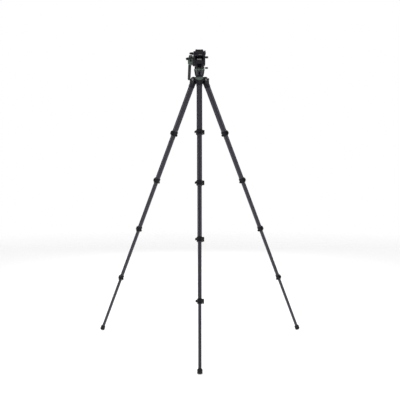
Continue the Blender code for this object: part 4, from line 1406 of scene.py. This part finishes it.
def build_cradle():
    piece("right_cheek", cheek_mesh(1), TILT, "cradle", "cheek", "tilt_cradle")
    piece("left_cheek", cheek_mesh(-1), TILT, "cradle", "cheek")
    piece("top_platform", platform_mesh(), TILT, "cradle", "casting")
    # painted shade in the gap under the platform
    piece("platform_gap_shade", gap_shade_mesh(), TILT, "cradle", "recess")
    piece("front_label", label_mesh(), TILT, "cradle", "label")
    piece("tilt_bearing_cap", tilt_cap_mesh(), TILT, "cradle", "casting", "tilt_shaft")
    piece("tilt_bearing_screws", tilt_cap_screws_mesh(), TILT, "cradle", "steel")
    piece("handle_rosette", rosette_mesh(), HANDLE, "cradle", "cheek")
    stem = rod(3.5, 24.4, 36, "X", steps=40)
    grip = knob_mesh(34.9, 41.2, 6.5, 14)
    build_lock_knob("tilt_lock", beside(TILT, z=23.5), stem, grip, cap_mesh(41.2, 51.5, 6.3))


def build_plate():
    lever = beside(TILT, *PLATE_LEVER_PIN)
    body = "plate_lock_lever"
    piece("plate_lever", plate_lever_mesh(), lever, body, "green", body)
    piece("plate_lever_tip", lever_tip_mesh(), lever, body, "green")
    piece("plate_lever_screw", lever_cap_mesh(), lever, body, "steel")
    piece("catch", catch_mesh(), beside(TILT, z=46.5), "plate_catch", "plastic", "plate_catch")
    body = "camera_plate"
    piece("release_plate", camera_plate_mesh(), TILT, body, "casting", body)
    piece("plate_pad", pad_mesh(), TILT, body, "pad")
    piece("plate_fittings", plate_fittings_mesh(), TILT, body, "steel")
    piece("camera_bolt", camera_screw_mesh(), TILT, "camera_screw", "steel", "camera_screw")


def build_handle():
    piece("clamp", clamp_mesh(), HANDLE, "handle", "green", "handle_clamp")
    piece("clamp_inset", inset_mesh(), HANDLE, "handle", "inset")
    piece("jaw", jaw_mesh(), HANDLE, "handle", "satin", "handle_jaw")
    piece("jaw_screws", jaw_screws_mesh(), HANDLE, "handle", "steel")
    lever = beside(HANDLE, *CLAMP_LEVER_PIN)
    body = "handle_lock_lever"
    piece("clamp_lever", clamp_lever_mesh(), lever, body, "plastic", body)
    piece("clamp_lever_knob", clamp_knob_mesh(), lever, body, "plastic")
    place = bar_matrix()
    place.translation *= MM
    bar = HANDLE @ place
    piece("bar_tube", bar_mesh(), bar, "handle", "bar", "pan_bar", own_axes=True)
    piece("bar_grip", grip_mesh(), bar, "handle", "grip", "pan_bar_grip")
    piece("bar_ferrule", strap_mesh(), bar, "handle", "bar", own_axes=True)


# ---------------------------------------------------------------- stage


# Sizes in metres, angles in degrees, and the lens in millimetres
FLOOR_RADIUS = 12
CAMERA_DISTANCE = 4.82
CAMERA_HEIGHT = 1.11
CAMERA_SIDE = 0.0028
CAMERA_DIP = 3.2
CAMERA_ROLL = 0.115
SENSOR_WIDTH = 36
FOCAL_LENGTH = 74.52
FLOOR_GLOW = 0.64
AMBIENT_LIGHT = 0.10
WHITE = (1, 1, 1, 1)


def build_stage():
    """A pale floor that fades out into a white surround, which lights the object only dimly."""
    scene = bpy.context.scene
    scene.view_settings.view_transform = "Standard"
    bpy.ops.mesh.primitive_circle_add(vertices=96, radius=FLOOR_RADIUS, fill_type="NGON")
    floor = bpy.context.object
    floor.name = "floor"
    made, tree, sockets = surface("floor", Base_Color=(0.8, 0.8, 0.8, 1), Roughness=0.9)
    sockets["Emission Color"].default_value = WHITE
    sockets["Emission Strength"].default_value = FLOOR_GLOW
    shader = tree.nodes["Principled BSDF"]
    place = node(tree, "TexCoord").outputs["Object"]
    away = node(tree, "VectorMath", {0: place}, operation="LENGTH").outputs["Value"]
    share = calculated(tree, "DIVIDE", away, FLOOR_RADIUS)
    fade = ramp(tree, share, (0.12, 0.0), (0.6, 1.0))
    clear = node(tree, "BsdfTransparent")
    both = node(tree, "MixShader", {0: fade, 1: shader.outputs[0], 2: clear.outputs[0]})
    tree.links.new(both.outputs[0], tree.nodes["Material Output"].inputs["Surface"])
    floor.data.materials.append(made)

    world = bpy.data.worlds.new("studio")
    world.use_nodes = True
    scene.world = world
    tree = world.node_tree
    background = tree.nodes["Background"]
    seen = node(tree, "LightPath").outputs["Is Camera Ray"]
    shown = node(tree, "Background", {"Color": WHITE, "Strength": 1.0})
    background.inputs["Color"].default_value = WHITE
    background.inputs["Strength"].default_value = AMBIENT_LIGHT
    both = node(tree, "MixShader", {0: seen, 1: background.outputs[0], 2: shown.outputs[0]})
    tree.links.new(both.outputs[0], tree.nodes["World Output"].inputs["Surface"])


def softbox(target, name, azimuth, height, distance, width, tall, power):
    """An area light round the tripod; azimuth 0 is in front, and the power is in watts."""
    angle = math.radians(azimuth)
    lamp = bpy.data.lights.new(name, "AREA")
    lamp.shape = "RECTANGLE"
    lamp.size = width
    lamp.size_y = tall
    lamp.energy = power
    made = bpy.data.objects.new(name, lamp)
    bpy.context.collection.objects.link(made)
    x = target.x + distance * math.sin(angle)
    y = target.y - distance * math.cos(angle)
    made.location = (x, y, height)
    made.rotation_mode = "QUATERNION"
    made.rotation_quaternion = (target - made.location).to_track_quat("-Z", "Y")


def build_lights():
    axis = TILT.translation
    middle = Vector((axis.x, axis.y, 1.0))
    softbox(middle, "front", -12, 2.3, 4.2, 1.6, 2.4, 31)
    softbox(middle, "left", -75, 1.9, 3.6, 1.0, 2.4, 42)
    softbox(middle, "right", 75, 1.9, 3.6, 1.0, 2.4, 40)
    softbox(middle, "back", 180, 2.2, 4.2, 1.6, 2.4, 50)
    softbox(middle, "top", 0, 4.2, 0.3, 3.0, 3.0, 50)


def build_camera():
    """In front of the tripod's axis, looking slightly down."""
    lens = bpy.data.cameras.new("camera")
    lens.sensor_width = SENSOR_WIDTH
    lens.lens = FOCAL_LENGTH
    camera = bpy.data.objects.new("camera", lens)
    bpy.context.collection.objects.link(camera)
    camera.location = (CAMERA_SIDE, TILT.translation.y - CAMERA_DISTANCE, CAMERA_HEIGHT)
    camera.rotation_euler = (math.radians(90 - CAMERA_DIP), math.radians(CAMERA_ROLL), 0)
    bpy.context.scene.camera = camera


# ---------------------------------------------------------------- build

build_camera()
build_stage()
build_lights()
build_legs()
build_base()
build_pan()
build_cradle()
build_plate()
build_handle()

for drum_slot in frame["nodes"]["tilt_drag_drum"].material_slots:
    drum_slot.material = LOOKS["steel"][0]
